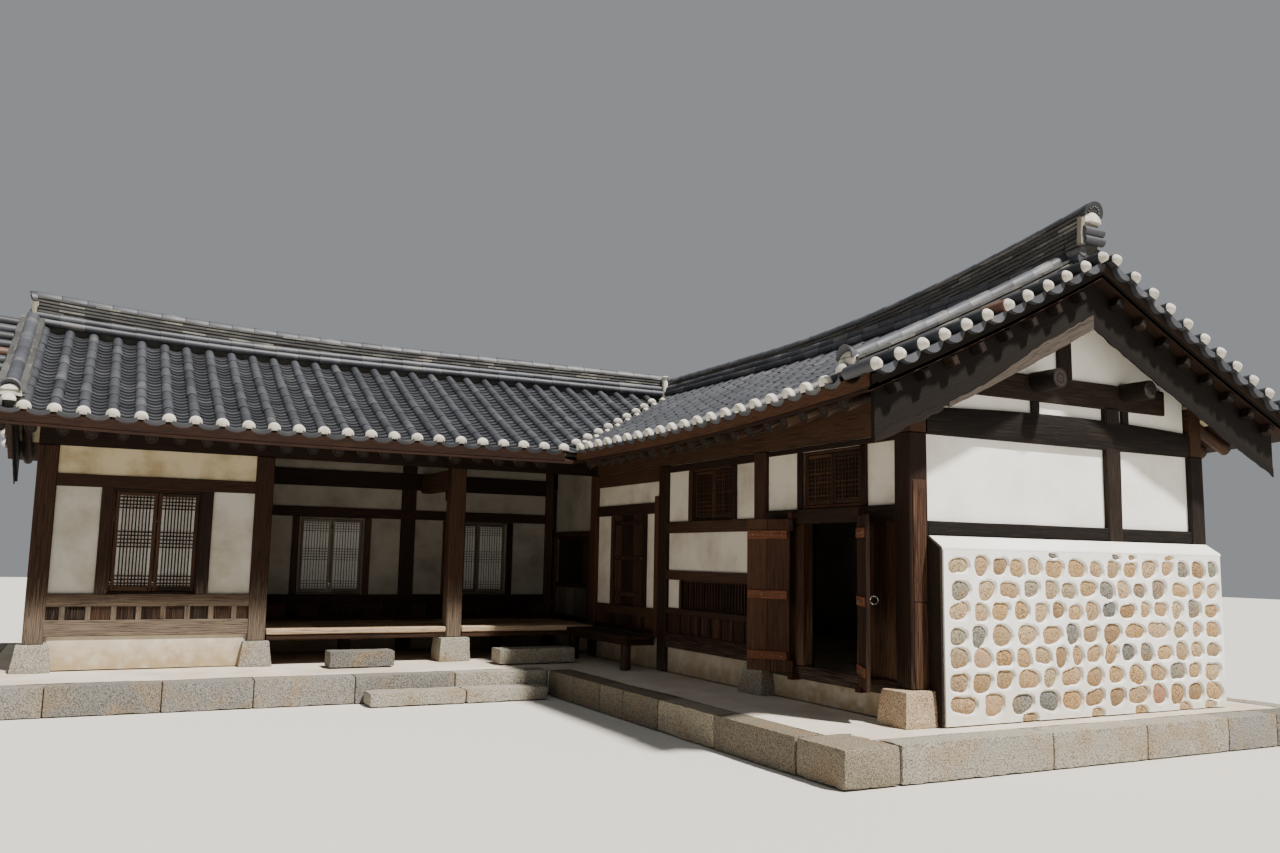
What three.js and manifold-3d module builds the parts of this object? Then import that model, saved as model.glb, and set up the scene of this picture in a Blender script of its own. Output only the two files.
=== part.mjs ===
// An L-shaped hanok: a left wing with an open hall, and a right wing that ends in a gable.
// Millimetres, +Z up. X runs to the right along the left wing's front, Y to the back.
// The origin is the inner corner of the L, at yard level.
import * as THREE from 'three';
import { mergeVertices } from 'three/addons/utils/BufferGeometryUtils.js';
import Module from 'manifold-3d';

const wasm = await Module();
wasm.setup();

// Driving dimensions
const SEAT = 0.3;
const POST = 240;
const PANEL_FRONT = 60;
const PANEL_BACK = 180;
const RAIL_FRONT = 15;
const JOIN = 12;

const PLATFORM_TOP = 360;
const YARD_STEP_TOP = 190;
const HALL_STEP_TOP = 580;
const ROOM_FLOOR_TOP = 620;
const PLATFORM = { left: -8600, front: -1600, court: -1420, gable: -8120, right: 5420, back: 4800 };
const FOOT_TOP = 690;
const PLATE_BOTTOM = 3220;

const LEFT_END = -7860;
const HALL_LEFT = -5200;
const HALL_POST_X = -2410;
const HALL_DEPTH = 1780;
const HALL_FLOOR_TOP = 850;
const BACK_FACE = 3900;
const RIGHT_FACE = 4520;
const GABLE_FACE = -7370;
const BAY_POSTS_Y = [0, -2350, -4820];

const RIDGE_Y = 1800;
const RIDGE_X = 2270;
const LEFT_RUN = 3050;
const RIGHT_RUN = 3270;
const VERGE_LEFT = -8650;
const VERGE_FRONT = -8000;
const EAVE_Z = 3450;
const ROOF_RISE = 1470;
const ROOF_SAG = 0.1;
const PLATE_WIDTH = 200;
const TILE_BED = 20;
const TILE_DEPTH = 190;
const BOARDING = 40;
const RAFTER_RADIUS = 70;
const RAFTER_PITCH = 325;

const WOOD = { color: 0x2e1a12, roughness: 0.8, metalness: 0 };
const PALE_WOOD = { color: 0x8a755c, roughness: 0.85, metalness: 0 };
const PLASTER = { color: 0xe6e1d6, roughness: 0.95, metalness: 0 };
const GRANITE = { color: 0x9b958a, roughness: 0.9, metalness: 0 };
const TILE = { color: 0x4a4f58, roughness: 0.75, metalness: 0 };
const PAPER = { color: 0xd8d8d2, roughness: 0.9, metalness: 0 };

const group = new THREE.Group();

// Shapes

function box([x0, x1], [y0, y1], [z0, z1]) {
  const shape = new THREE.BoxGeometry(x1 - x0, y1 - y0, z1 - z0);
  return shape.translate((x0 + x1) / 2, (y0 + y1) / 2, (z0 + z1) / 2);
}

function upright(radius, sides, z0, z1, x, y) {
  const shape = new THREE.CylinderGeometry(radius, radius, z1 - z0, sides);
  return shape.rotateX(Math.PI / 2).translate(x, y, (z0 + z1) / 2);
}

// A log between two points.
function log(from, to, radius, sides) {
  const along = new THREE.Vector3().subVectors(to, from);
  const shape = new THREE.CylinderGeometry(radius, radius, along.length(), sides);
  const up = new THREE.Vector3(0, 1, 0);
  const turn = new THREE.Quaternion().setFromUnitVectors(up, along.clone().normalize());
  const middle = new THREE.Vector3().addVectors(from, to).multiplyScalar(0.5);
  return shape.applyQuaternion(turn).translate(middle.x, middle.y, middle.z);
}

// An outline of [x, z] points, pushed back from y0 to y1.
function slabXZ(points, y0, y1) {
  const outline = new THREE.Shape(points.map(([x, z]) => new THREE.Vector2(x, z)));
  const shape = new THREE.ExtrudeGeometry(outline, { depth: y1 - y0, bevelEnabled: false });
  return shape.rotateX(Math.PI / 2).translate(0, y1, 0);
}

// An outline of [y, z] points, pushed right from x0 to x1.
function slabYZ(points, x0, x1) {
  const outline = new THREE.Shape(points.map(([y, z]) => new THREE.Vector2(y, z)));
  const shape = new THREE.ExtrudeGeometry(outline, { depth: x1 - x0, bevelEnabled: false });
  return shape.rotateX(Math.PI / 2).rotateZ(Math.PI / 2).translate(x0, 0, 0);
}

// A skin of rows of points, closed with rows below it and walls round the edge.
function sheet(rows, thickness) {
  const wide = rows[0].length;
  const points = [];
  for (const drop of [0, thickness]) {
    for (const row of rows) {
      for (const [x, y, z] of row) points.push(x, y, z - drop);
    }
  }
  const below = rows.length * wide;
  const faces = [];
  for (let i = 0; i + 1 < rows.length; i += 1) {
    for (let j = 0; j + 1 < wide; j += 1) {
      const a = i * wide + j;
      const [b, c, d] = [a + 1, a + wide + 1, a + wide];
      faces.push(a, b, c, a, c, d);
      faces.push(below + a, below + c, below + b, below + a, below + d, below + c);
    }
  }
  const rim = [];
  for (let j = 0; j + 1 < wide; j += 1) rim.push(j);
  for (let i = 0; i + 1 < rows.length; i += 1) rim.push(i * wide + wide - 1);
  for (let j = wide - 1; j > 0; j -= 1) rim.push((rows.length - 1) * wide + j);
  for (let i = rows.length - 1; i > 0; i -= 1) rim.push(i * wide);
  rim.forEach((a, k) => {
    const b = rim[(k + 1) % rim.length];
    faces.push(b, a, below + a, b, below + a, below + b);
  });
  const shape = new THREE.BufferGeometry();
  shape.setAttribute('position', new THREE.Float32BufferAttribute(points, 3));
  shape.setIndex(faces);
  return shape;
}

// Booleans

function solid(geometry) {
  const bare = geometry.clone();
  bare.deleteAttribute('normal');
  bare.deleteAttribute('uv');
  const merged = mergeVertices(bare, 1e-3);
  return new wasm.Manifold(new wasm.Mesh({
    numProp: 3,
    vertProperties: new Float32Array(merged.attributes.position.array),
    triVerts: new Uint32Array(merged.index.array),
  }));
}

function shapeOf(body) {
  const mesh = body.getMesh();
  const shape = new THREE.BufferGeometry();
  shape.setAttribute('position', new THREE.Float32BufferAttribute(mesh.vertProperties, 3));
  shape.setIndex(Array.from(mesh.triVerts));
  shape.computeVertexNormals();
  return shape;
}

function fuse(shapes) {
  return shapes.map(solid).reduce((whole, next) => whole.add(next));
}

function cut(body, shapes) {
  return shapes.map(solid).reduce((whole, next) => whole.subtract(next), body);
}

function addPiece(name, body, finish, parent = group) {
  const shape = body instanceof THREE.BufferGeometry ? shapeOf(solid(body)) : shapeOf(body);
  const mesh = new THREE.Mesh(shape, new THREE.MeshStandardMaterial(finish));
  mesh.name = name;
  parent.add(mesh);
  return mesh;
}

// Roof surface: heights of the tiles' mid-line

function slope(share) {
  return share * (1 - ROOF_SAG) + share * share * ROOF_SAG;
}

function liftPast(distance, start, length, most) {
  const share = Math.max(0, (distance - start) / length);
  return most * share * share;
}

function leftRoofZ(x, y) {
  const share = 1 - Math.abs(y - RIDGE_Y) / LEFT_RUN;
  const eave = EAVE_Z + liftPast(-x, 4000, 4650, 80);
  const ridge = EAVE_Z + ROOF_RISE + liftPast(-x, 3500, 5150, 200);
  return eave + (ridge - eave) * slope(share);
}

function rightRoofZ(x, y) {
  const share = 1 - Math.abs(x - RIDGE_X) / RIGHT_RUN;
  const eave = EAVE_Z + liftPast(-y, 3000, 5000, 200);
  const ridge = EAVE_Z + ROOF_RISE + liftPast(-y, 1500, 6500, 280);
  return eave + (ridge - eave) * slope(share);
}

const LEFT_EAVE_Y = RIDGE_Y - LEFT_RUN;
const RIGHT_EAVE_X = RIDGE_X - RIGHT_RUN;
const BACK_EAVE_Y = RIDGE_Y + LEFT_RUN;
const FAR_EAVE_X = RIDGE_X + RIGHT_RUN;

// The valley in front and the hip behind lie on one line in plan.
function seamX(y) {
  return RIGHT_EAVE_X + (y - LEFT_EAVE_Y) * (RIGHT_RUN / LEFT_RUN);
}

function seamY(x) {
  return LEFT_EAVE_Y + (x - RIGHT_EAVE_X) * (LEFT_RUN / RIGHT_RUN);
}

function steps(from, to, count) {
  return Array.from({ length: count + 1 }, (_, i) => from + ((to - from) * i) / count);
}

// Each slope is two flats: one over the rafters, and a steeper one up to the ridge.
const RAFTER_END = 0.62;
const FLATS = [-1, -1 + RAFTER_END, 0, 1 - RAFTER_END, 1];
const LEFT_STATIONS = [VERGE_LEFT, -7500, -6300, -5000, -3500];
const FRONT_STATIONS = [VERGE_FRONT, -6900, -5700, -4300, -1500];

function leftSheet(drop, thickness, seam = -SEAT) {
  const rows = FLATS.map((share) => RIDGE_Y + share * LEFT_RUN).map((y) =>
    [...LEFT_STATIONS, seamX(y) + seam].map((x) => [x, y, leftRoofZ(x, y) - drop]));
  return sheet(rows, thickness);
}

function rightSheet(drop, thickness, seam = -SEAT) {
  const rows = FLATS.map((share) => RIDGE_X - share * RIGHT_RUN).map((x) =>
    [...FRONT_STATIONS, seamY(x) + seam].map((y) => [x, y, rightRoofZ(x, y) - drop]));
  return sheet(rows, thickness);
}

const BOARD_DROP = TILE_DEPTH - TILE_BED + SEAT;
const RAFTER_DROP = BOARD_DROP + BOARDING + RAFTER_RADIUS - 12;
const UNDER_RAFTERS = RAFTER_DROP + RAFTER_RADIUS;
const EAVE_INSET = 60;
const FRONT_BARGE_Y = -7735;
const LEFT_BARGE_X = -8390;
const BARGE_THICK = 50;
const RAFTER_INSET = 150;
const VERGE_INSET = 130;
// The end walls stand between two rafters.
const FIRST_RAFTER_X = LEFT_END + (PANEL_FRONT + PANEL_BACK) / 2 - 1.5 * RAFTER_PITCH;
const FIRST_RAFTER_Y = GABLE_FACE + (PANEL_FRONT + PANEL_BACK) / 2 - 0.5 * RAFTER_PITCH;

// A wall plate whose top follows the rafters that it carries, which are let into it.
const RAFTER_SEAT = 20;

function plateAlongX(y, x0, x1) {
  const tops = steps(x0, x1, 6).map((x) => [x, leftRoofZ(x, y) - UNDER_RAFTERS + RAFTER_SEAT]);
  const outline = [[x0, PLATE_BOTTOM], [x1, PLATE_BOTTOM], ...tops.reverse()];
  return slabXZ(outline, y - PLATE_WIDTH / 2, y + PLATE_WIDTH / 2);
}

function plateAlongY(x, y0, y1) {
  const tops = steps(y0, y1, 6).map((y) => [y, rightRoofZ(x, y) - UNDER_RAFTERS + RAFTER_SEAT]);
  const outline = [[y0, PLATE_BOTTOM], [y1, PLATE_BOTTOM], ...tops.reverse()];
  return slabYZ(outline, x - PLATE_WIDTH / 2, x + PLATE_WIDTH / 2);
}

function raftersAlongX(first, count, outer, inner) {
  return steps(first, first + (count - 1) * RAFTER_PITCH, count - 1).map((x) => log(
    new THREE.Vector3(x, outer, leftRoofZ(x, outer) - RAFTER_DROP),
    new THREE.Vector3(x, inner, leftRoofZ(x, inner) - RAFTER_DROP),
    RAFTER_RADIUS, 6));
}

function raftersAlongY(first, count, outer, inner) {
  return steps(first, first + (count - 1) * RAFTER_PITCH, count - 1).map((y) => log(
    new THREE.Vector3(outer, y, rightRoofZ(outer, y) - RAFTER_DROP),
    new THREE.Vector3(inner, y, rightRoofZ(inner, y) - RAFTER_DROP),
    RAFTER_RADIUS, 6));
}

function addRoof() {
  addPiece('roof_left_wing', leftSheet(-TILE_BED, TILE_DEPTH), TILE);
  addPiece('roof_right_wing', rightSheet(-TILE_BED, TILE_DEPTH), TILE);

  const eaves = {
    x: [RIGHT_EAVE_X + EAVE_INSET, FAR_EAVE_X - EAVE_INSET],
    y: [LEFT_EAVE_Y + EAVE_INSET, BACK_EAVE_Y - EAVE_INSET],
    z: [PLATE_BOTTOM - 500, PLATE_BOTTOM + 3000],
  };
  const rise = LEFT_RUN * RAFTER_END;
  const leftBoards = fuse([leftSheet(BOARD_DROP, BOARDING)])
    .intersect(solid(box([VERGE_LEFT + VERGE_INSET, FAR_EAVE_X], eaves.y, eaves.z)));
  const leftFrame = [
    plateAlongX(120, LEFT_BARGE_X + BARGE_THICK + SEAT, -20),
    plateAlongX(BACK_FACE - 120, LEFT_BARGE_X + BARGE_THICK + SEAT, 4000),
    ...raftersAlongX(FIRST_RAFTER_X, 22, LEFT_EAVE_Y + RAFTER_INSET, LEFT_EAVE_Y + rise),
    ...raftersAlongX(FIRST_RAFTER_X, 34, BACK_EAVE_Y - RAFTER_INSET, BACK_EAVE_Y - rise),
  ].map(solid).reduce((whole, next) => whole.add(next), leftBoards);
  addPiece('roof_frame_left_wing', leftFrame, WOOD);

  const span = RIGHT_RUN * RAFTER_END;
  const rightBoards = fuse([rightSheet(BOARD_DROP, BOARDING)])
    .intersect(solid(box(eaves.x, [VERGE_FRONT + VERGE_INSET, BACK_EAVE_Y], eaves.z)));
  const rightFrame = [
    plateAlongY(120, FRONT_BARGE_Y + BARGE_THICK + SEAT, -20),
    plateAlongY(RIGHT_FACE - 120, FRONT_BARGE_Y + BARGE_THICK + SEAT, 3600),
    ...raftersAlongY(FIRST_RAFTER_Y, 19, RIGHT_EAVE_X + RAFTER_INSET, RIGHT_EAVE_X + span),
    ...raftersAlongY(FIRST_RAFTER_Y, 30, FAR_EAVE_X - RAFTER_INSET, FAR_EAVE_X - span),
  ].map(solid).reduce((whole, next) => whole.add(next), rightBoards);
  addPiece('roof_frame_right_wing', rightFrame, WOOD);
}

// Stone: platform, steps and the stones under the posts

function footStone(x, y, top = FOOT_TOP, halfTop = 200, halfFoot = 265) {
  const high = top - PLATFORM_TOP + JOIN;
  const shape = new THREE.CylinderGeometry(halfTop * Math.SQRT2, halfFoot * Math.SQRT2, high, 4);
  return shape.rotateY(Math.PI / 4).rotateX(Math.PI / 2).translate(x, y, PLATFORM_TOP - JOIN + high / 2);
}

// The stone under a front post whose left side is at x.
function postStone(x, gap = 0) {
  return footStone(x + POST / 2, POST / 2, FOOT_TOP + gap, 200 + gap * 7, 265 + gap * 10);
}

// The stones that stand out of the court wall, with a gap round them where other pieces are cut.
function doorStone(gap = 0) {
  return footStone(120, BAY_POSTS_Y[2] + 125, FOOT_TOP + gap, 200 + gap * 5, 265 + gap * 5);
}

function cornerStone(gap = 0) {
  const high = [PLATFORM_TOP - JOIN, FOOT_TOP + gap];
  return box([-200 - gap, 300 + gap], [-7500 - gap, -7050 + gap], high);
}

function gableStone(gap = 0) {
  const high = [PLATFORM_TOP - JOIN, FOOT_TOP + gap];
  return box([4200 - gap, 4660 + gap], [GABLE_FACE + SEAT - gap, -7060 + gap], high);
}

function addPlatform() {
  const { left, front, court, gable, right, back } = PLATFORM;
  addPiece('platform_left_wing', fuse([
    box([left, court], [front, back], [0, PLATFORM_TOP]),
    ...[LEFT_END, HALL_LEFT, HALL_POST_X].map((x) => postStone(x)),
  ]), GRANITE);
  addPiece('platform_right_wing', fuse([
    box([court, right], [gable, back], [0, PLATFORM_TOP]),
    doorStone(),
    cornerStone(),
    gableStone(),
  ]), GRANITE);
  addPiece('yard_step',
    box([-3950, -1580], [front - 430, front - SEAT], [0, YARD_STEP_TOP]), GRANITE);
  addPiece('hall_step_left',
    box([-4200, -3320], [-650, -270], [PLATFORM_TOP, HALL_STEP_TOP]), GRANITE);
  addPiece('hall_step_right',
    box([-1850, -680], [-850, -450], [PLATFORM_TOP, HALL_STEP_TOP]), GRANITE);
}

// Floors

function addFloors() {
  const ends = [HALL_LEFT + POST + SEAT, -SEAT];
  const joistsX = [-3700, -1300];
  const floor = fuse([
    box(ends, [0, HALL_DEPTH - SEAT], [HALL_FLOOR_TOP - 100, HALL_FLOOR_TOP]),
    box(ends, [20, 160], [690, HALL_FLOOR_TOP - 20]),
    ...joistsX.map((x) => box([x - 60, x + 60], [100, HALL_DEPTH - SEAT], [660, 760])),
    ...joistsX.map((x) => box([x - 80, x + 80], [820, 980], [PLATFORM_TOP, 760])),
  ]);
  addPiece('hall_floor', cut(floor, [
    box([HALL_POST_X - SEAT, HALL_POST_X + POST + SEAT], [-20, POST + SEAT], [600, 900]),
  ]), PALE_WOOD);
  const roomEnds = [GABLE_FACE + POST + SEAT, BACK_FACE - 300];
  addPiece('room_floor', cut(fuse([
    box([PANEL_BACK + SEAT, RIGHT_FACE - POST - SEAT], roomEnds, [PLATFORM_TOP, ROOM_FLOOR_TOP]),
  ]), [
    doorStone(SEAT),
    cornerStone(SEAT),
    gableStone(SEAT),
    box([0, POST + SEAT], [BAY_POSTS_Y[1] - SEAT, BAY_POSTS_Y[1] + POST + SEAT], [0, 700]),
    box([0, POST + SEAT], [-SEAT, POST + SEAT], [0, 700]),
  ]), PALE_WOOD);
  addPiece('side_bench', fuse([
    box([-470, -SEAT], [-2080, -20], [770, 820]),
    box([-450, -370], [-2060, -40], [690, 780]),
    box([-420, -SEAT], [-2060, -1960], [690, 780]),
    box([-420, -SEAT], [-160, -60], [690, 780]),
    upright(75, 10, PLATFORM_TOP, 720, -400, -1960),
    upright(75, 10, PLATFORM_TOP, 720, -400, -160),
  ]), PALE_WOOD);
}

// Walls. A front is a list of upright and level timbers, standing proud of a plaster slab.

// Timbers of a wall that faces the yard along -Y: [x0, x1, z0, z1].
function timbersY(face, list) {
  const deep = [face + RAIL_FRONT, face + PANEL_FRONT - SEAT];
  return list.map(([x0, x1, z0, z1]) => box([x0, x1], deep, [z0, z1]));
}

// Timbers of a wall that faces the court along -X: [y0, y1, z0, z1].
function timbersX(face, list) {
  const deep = [face + RAIL_FRONT, face + PANEL_FRONT - SEAT];
  return list.map(([y0, y1, z0, z1]) => box(deep, [y0, y1], [z0, z1]));
}

function postAt(x, y, z0 = FOOT_TOP, z1 = PLATE_BOTTOM - SEAT, width = POST) {
  return box([x, x + width], [y, y + width], [z0 + SEAT, z1]);
}

// A closed two-leaf window: a thin panel with a proud frame round each leaf.
const STILE = 45;
const LEAF_RAIL = 50;
const LEAF_DEPTH = 30;

function windowY(x0, x1, z0, z1, front) {
  const middle = (x0 + x1) / 2;
  const bars = [[x0, x0 + STILE], [middle - STILE, middle + STILE], [x1 - STILE, x1]];
  const deep = [front, front + LEAF_DEPTH];
  return fuse([
    box([x0, x1], [front + 20, front + 50], [z0, z1]),
    ...bars.map((bar) => box(bar, deep, [z0, z1])),
    box([x0 + 10, x1 - 10], deep, [z0, z0 + LEAF_RAIL]),
    box([x0 + 10, x1 - 10], deep, [z1 - LEAF_RAIL, z1]),
  ]);
}

function windowX(y0, y1, z0, z1, front) {
  const turned = windowY(y0, y1, z0, z1, 0).rotate([0, 0, 90]).mirror([1, 0, 0]);
  return turned.translate([front, 0, 0]);
}

// A hole [from, to, z0, z1] in a wall, and the window that fills it.
const IN_HOLE = PANEL_FRONT + 10;

function fittedY([x0, x1, z0, z1], face) {
  return windowY(x0 + SEAT, x1 - SEAT, z0 + SEAT, z1 - SEAT, face + IN_HOLE);
}

function fittedX([y0, y1, z0, z1], face) {
  return windowX(y0 + SEAT, y1 - SEAT, z0 + SEAT, z1 - SEAT, face + IN_HOLE);
}

function addLeftBay() {
  const left = LEFT_END + POST;
  const right = HALL_LEFT;
  const across = [left - JOIN, right + JOIN];
  const dado = steps(left + 180, right - 180, 7);
  addPiece('frame_left_bay', fuse([
    postAt(LEFT_END, 0),
    postAt(HALL_LEFT, 0),
    ...timbersY(0, [
      [...across, 2710, 2860],
      [-7100, -6950, 1180, 2720],
      [-5880, -5730, 1180, 2720],
      [...across, 1160, 1320],
      ...dado.map((x) => [x - 35, x + 35, 960, 1180]),
      [...across, 780, 990],
    ]),
  ]), WOOD);
  const hole = [-6965, -5865, 1310, 2700];
  const high = [PLATFORM_TOP, PLATE_BOTTOM - SEAT];
  addPiece('plaster_left_bay', cut(
    fuse([box([left + SEAT, right - SEAT], [PANEL_FRONT, PANEL_BACK], high)]),
    [
      box(hole.slice(0, 2), [0, 2 * PANEL_BACK], hole.slice(2)),
      postStone(LEFT_END, SEAT),
      postStone(HALL_LEFT, SEAT),
    ]), PLASTER);
  addPiece('window_left_bay', fittedY(hole, 0), PAPER);
}

// A plaster wall at the side of the hall, up to the rafters.
function hallSideWall(x) {
  const under = (y) => leftRoofZ(0, y) - UNDER_RAFTERS - 4;
  const [front, back] = [POST + SEAT, HALL_DEPTH - SEAT];
  const foot = HALL_FLOOR_TOP + SEAT;
  const outline = [[front, foot], [back, foot], [back, under(HALL_DEPTH)], [front, under(POST)]];
  return slabYZ(outline, x, x + PANEL_BACK - PANEL_FRONT);
}

function addHall() {
  addPiece('hall_post', postAt(HALL_POST_X, 0), WOOD);
  addPiece('hall_cross_beam', fuse([
    box([HALL_POST_X + 20, HALL_POST_X + 220], [POST + SEAT, HALL_DEPTH - SEAT], [2900, 3200]),
    box([HALL_POST_X + 60, HALL_POST_X + 180], [POST + SEAT, 520], [2720, 2910]),
  ]), WOOD);

  const wallLeft = HALL_LEFT + POST;
  const face = HALL_DEPTH;
  const across = [wallLeft - 100, -100];
  addPiece('frame_recess', fuse([
    box([HALL_LEFT + SEAT, wallLeft - SEAT], [face + SEAT, face + POST], [PLATFORM_TOP, 4300]),
    box([-2690, -2450], [face, face + 100], [PLATFORM_TOP, 4300]),
    box([-140, -SEAT], [face, face + POST], [PLATFORM_TOP, 4300]),
    ...timbersY(face, [
      [...across, 2950, 3220],
      [...across, 2465, 2620],
      [-4400, -4290, 1000, 2470],
      [-3275, -3170, 1000, 2470],
      [-1975, -1865, 1000, 2470],
      [-845, -735, 1000, 2470],
      [...across, 1100, 1250],
      ...[-4300, -3800, -3300, -1900, -1400, -900].map((x) => [x - 40, x + 40, 880, 1110]),
      [...across, HALL_FLOOR_TOP - 120, HALL_FLOOR_TOP + 60],
    ]),
  ]), WOOD);
  const holes = [[-4300, -3265, 1240, 2470], [-1875, -835, 1240, 2470]];
  const through = [face - 10, face + 300];
  const wallTop = 4280;
  addPiece('plaster_recess', cut(
    fuse([box([wallLeft + SEAT, -SEAT], [face + PANEL_FRONT, face + PANEL_BACK], [PLATFORM_TOP, wallTop])]),
    [
      ...holes.map((hole) => box(hole.slice(0, 2), through, hole.slice(2))),
      box([-2690 - SEAT, -2450 + SEAT], [face - 10, face + 100 + SEAT], [0, wallTop + 100]),
      box([-140 - SEAT, 100], through, [0, wallTop + 100]),
    ]), PLASTER);
  addPiece('window_recess_left', fittedY(holes[0], face), PAPER);
  addPiece('window_recess_right', fittedY(holes[1], face), PAPER);

  addPiece('hall_side_wall_left', hallSideWall(HALL_LEFT + PANEL_FRONT), PLASTER);
  addPiece('hall_side_wall_right', cut(fuse([hallSideWall(PANEL_FRONT)]), [
    box([0, 300], [330, 1700], [900, 2270]),
  ]), PLASTER);
  addPiece('hall_side_door', fuse([
    box([PANEL_FRONT + 10, PANEL_FRONT + 60], [330 + SEAT, 1700 - SEAT], [900 + SEAT, 2270 - SEAT]),
    box([RAIL_FRONT, PANEL_FRONT - SEAT], [POST + SEAT, face - SEAT], [2250, 2330]),
    box([RAIL_FRONT, PANEL_FRONT - SEAT], [POST + SEAT, 360], [HALL_FLOOR_TOP + SEAT, 2260]),
    box([RAIL_FRONT, PANEL_FRONT - SEAT], [1670, face - SEAT], [HALL_FLOOR_TOP + SEAT, 2260]),
    box([RAIL_FRONT, PANEL_FRONT + 40], [340, 1690], [1400, 1470]),
    box([RAIL_FRONT, PANEL_FRONT - SEAT], [340, 1680], [HALL_FLOOR_TOP + SEAT, 940]),
    box([PANEL_FRONT - 20, PANEL_FRONT + 30], [340, 1690], [2200, 2265]),
  ]), WOOD);
}

function addCourtBays() {
  const [y0, y1, y2] = BAY_POSTS_Y;
  const corner = GABLE_FACE;
  const slab = (a, b, z0, z1) => fuse([box([PANEL_FRONT, PANEL_BACK], [a, b], [z0, z1])]);
  const top = PLATE_BOTTOM - SEAT;

  const near = [y1 + POST + SEAT, y0 + JOIN];
  addPiece('frame_court_near_hall', fuse([
    postAt(0, 0, PLATFORM_TOP, top),
    ...timbersX(0, [
      [...near, 3010, 3210],
      [...near, 2550, 2710],
      [-600, -510, 1170, 2560],
      [-1690, -1590, 1170, 2560],
      [y1 + POST + SEAT, -1990, 1250, 2800],
      [...near, 1060, 1200],
      [...near, 820, 900],
      ...[-400, -800, -1200, -1600].map((y) => [y - 35, y + 35, 890, 1070]),
    ]),
  ]), WOOD);
  addPiece('plaster_court_near_hall', cut(slab(y1 + POST + SEAT, y0 - SEAT, PLATFORM_TOP, top), [
    box([0, 400], [-1600, -590], [1190, 2560]),
  ]), PLASTER);
  addPiece('plank_door', fuse([
    box([IN_HOLE, IN_HOLE + 45], [-1600 + SEAT, -590 - SEAT], [1190 + SEAT, 2560 - SEAT]),
    ...[1330, 1870, 2400].map((z) => box([PANEL_FRONT - 20, IN_HOLE + 20], [-1580, -610], [z, z + 70])),
  ]), WOOD);

  const middle = [y2 + 250 + SEAT, y1 + JOIN];
  addPiece('frame_court_middle', fuse([
    postAt(0, y1, PLATFORM_TOP, top),
    ...timbersX(0, [
      [...middle, 3110, 3210],
      [-3030, -2930, 2400, 3120],
      [-4120, -4020, 2400, 3120],
      [...middle, 2260, 2420],
      [...middle, 1620, 1750],
      [-2750, -2700, 1200, 1630],
      [...middle, 1150, 1235],
      ...steps(-2700, -4300, 6).map((y) => [y - 35, y + 35, 880, 1160]),
      [...middle, 690, 900],
    ]),
  ]), WOOD);
  addPiece('plaster_court_middle', cut(slab(y2 + 250 + SEAT, y1 - SEAT, PLATFORM_TOP, top), [
    box([0, 400], [-4040, -3010], [2410, 3120]),
    box([0, 400], [-4520, -2740], [1225, 1630]),
    doorStone(SEAT),
  ]), PLASTER);
  addPiece('window_court_middle', fittedX([-4040, -3010, 2410, 3120], 0), WOOD);
  addPiece('slat_window', fuse([
    box([IN_HOLE + 25, IN_HOLE + 40], [-4520 + SEAT, -2740 - SEAT], [1225 + SEAT, 1630 - SEAT]),
    ...steps(-4490, -2780, 24).map((y) => box([IN_HOLE, IN_HOLE + 30], [y - 14, y + 14], [1226, 1629])),
  ]), WOOD);

  const door = [corner + POST - JOIN, y2 + JOIN];
  addPiece('frame_court_door', cut(fuse([
    postAt(0, y2, FOOT_TOP, top, 250),
    postAt(0, corner, FOOT_TOP, top),
    ...timbersX(0, [
      [...door, 2330, 2500],
      [-5540, -5440, 2490, PLATE_BOTTOM - 10],
      [-6670, -6570, 2490, PLATE_BOTTOM - 10],
      [...door, 3150, PLATE_BOTTOM - 10],
      [-5580, -5440, 700, 2340],
      [-6660, -6520, 700, 2340],
      [...door, 600, 750],
    ]),
    ...doorSockets(),
  ]), [doorStone(SEAT), cornerStone(SEAT)]), WOOD);
  addPiece('plaster_over_door', cut(slab(corner + POST + SEAT, y2 - SEAT, 2420, top), [
    box([0, 400], [-6580, -5530], [2500, 3150]),
  ]), PLASTER);
  addPiece('window_over_door', fittedX([-6580, -5530, 2500, 3150], 0), WOOD);
  const boards = [620, 2420];
  addPiece('plank_wall_left_of_door',
    cut(slab(-5560, y2 - SEAT, boards[0] + SEAT, boards[1] - SEAT), [doorStone(SEAT)]), WOOD);
  addPiece('plank_wall_right_of_door', cut(
    slab(corner + POST + SEAT, -6540, boards[0] + SEAT, boards[1] - SEAT), [cornerStone(SEAT)]), WOOD);
  addPiece('base_wall_door_bay', cut(
    slab(corner + POST + SEAT, y2 - SEAT, PLATFORM_TOP, boards[0]), [doorStone(SEAT), cornerStone(SEAT)],
  ), PLASTER);
}

// Double door: each leaf turns on pins in wooden sockets on the jambs.

const DOOR = { x: -45, bottom: 660, top: 2390, width: 582, thick: 45, gap: 25 };
const PIN = { radius: 14, long: 30, clear: 6, play: 0.7 };
const BATTEN = { high: 100, proud: 22, inset: 20, above: [130, 815, 1500] };
const DOOR_HINGES = [{ y: -5450, open: 153 }, { y: -6640, open: -149 }];

// A wooden block above and below each hinge line, with a hole for the pin.
function doorSockets() {
  const below = [DOOR.bottom - 70, DOOR.bottom - PIN.clear];
  const above = [DOOR.top + PIN.clear, DOOR.top + 76];
  const pinHeight = [DOOR.bottom - PIN.long - 2, DOOR.top + PIN.long + 2];
  return DOOR_HINGES.flatMap(({ y }) => [below, above].map((high) => {
    const block = fuse([box([DOOR.x - 35, PANEL_FRONT - 5], [y - 40, y + 40], high)]);
    return shapeOf(cut(block, [upright(PIN.radius + PIN.play, 24, ...pinHeight, DOOR.x, y)]));
  }));
}

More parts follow.
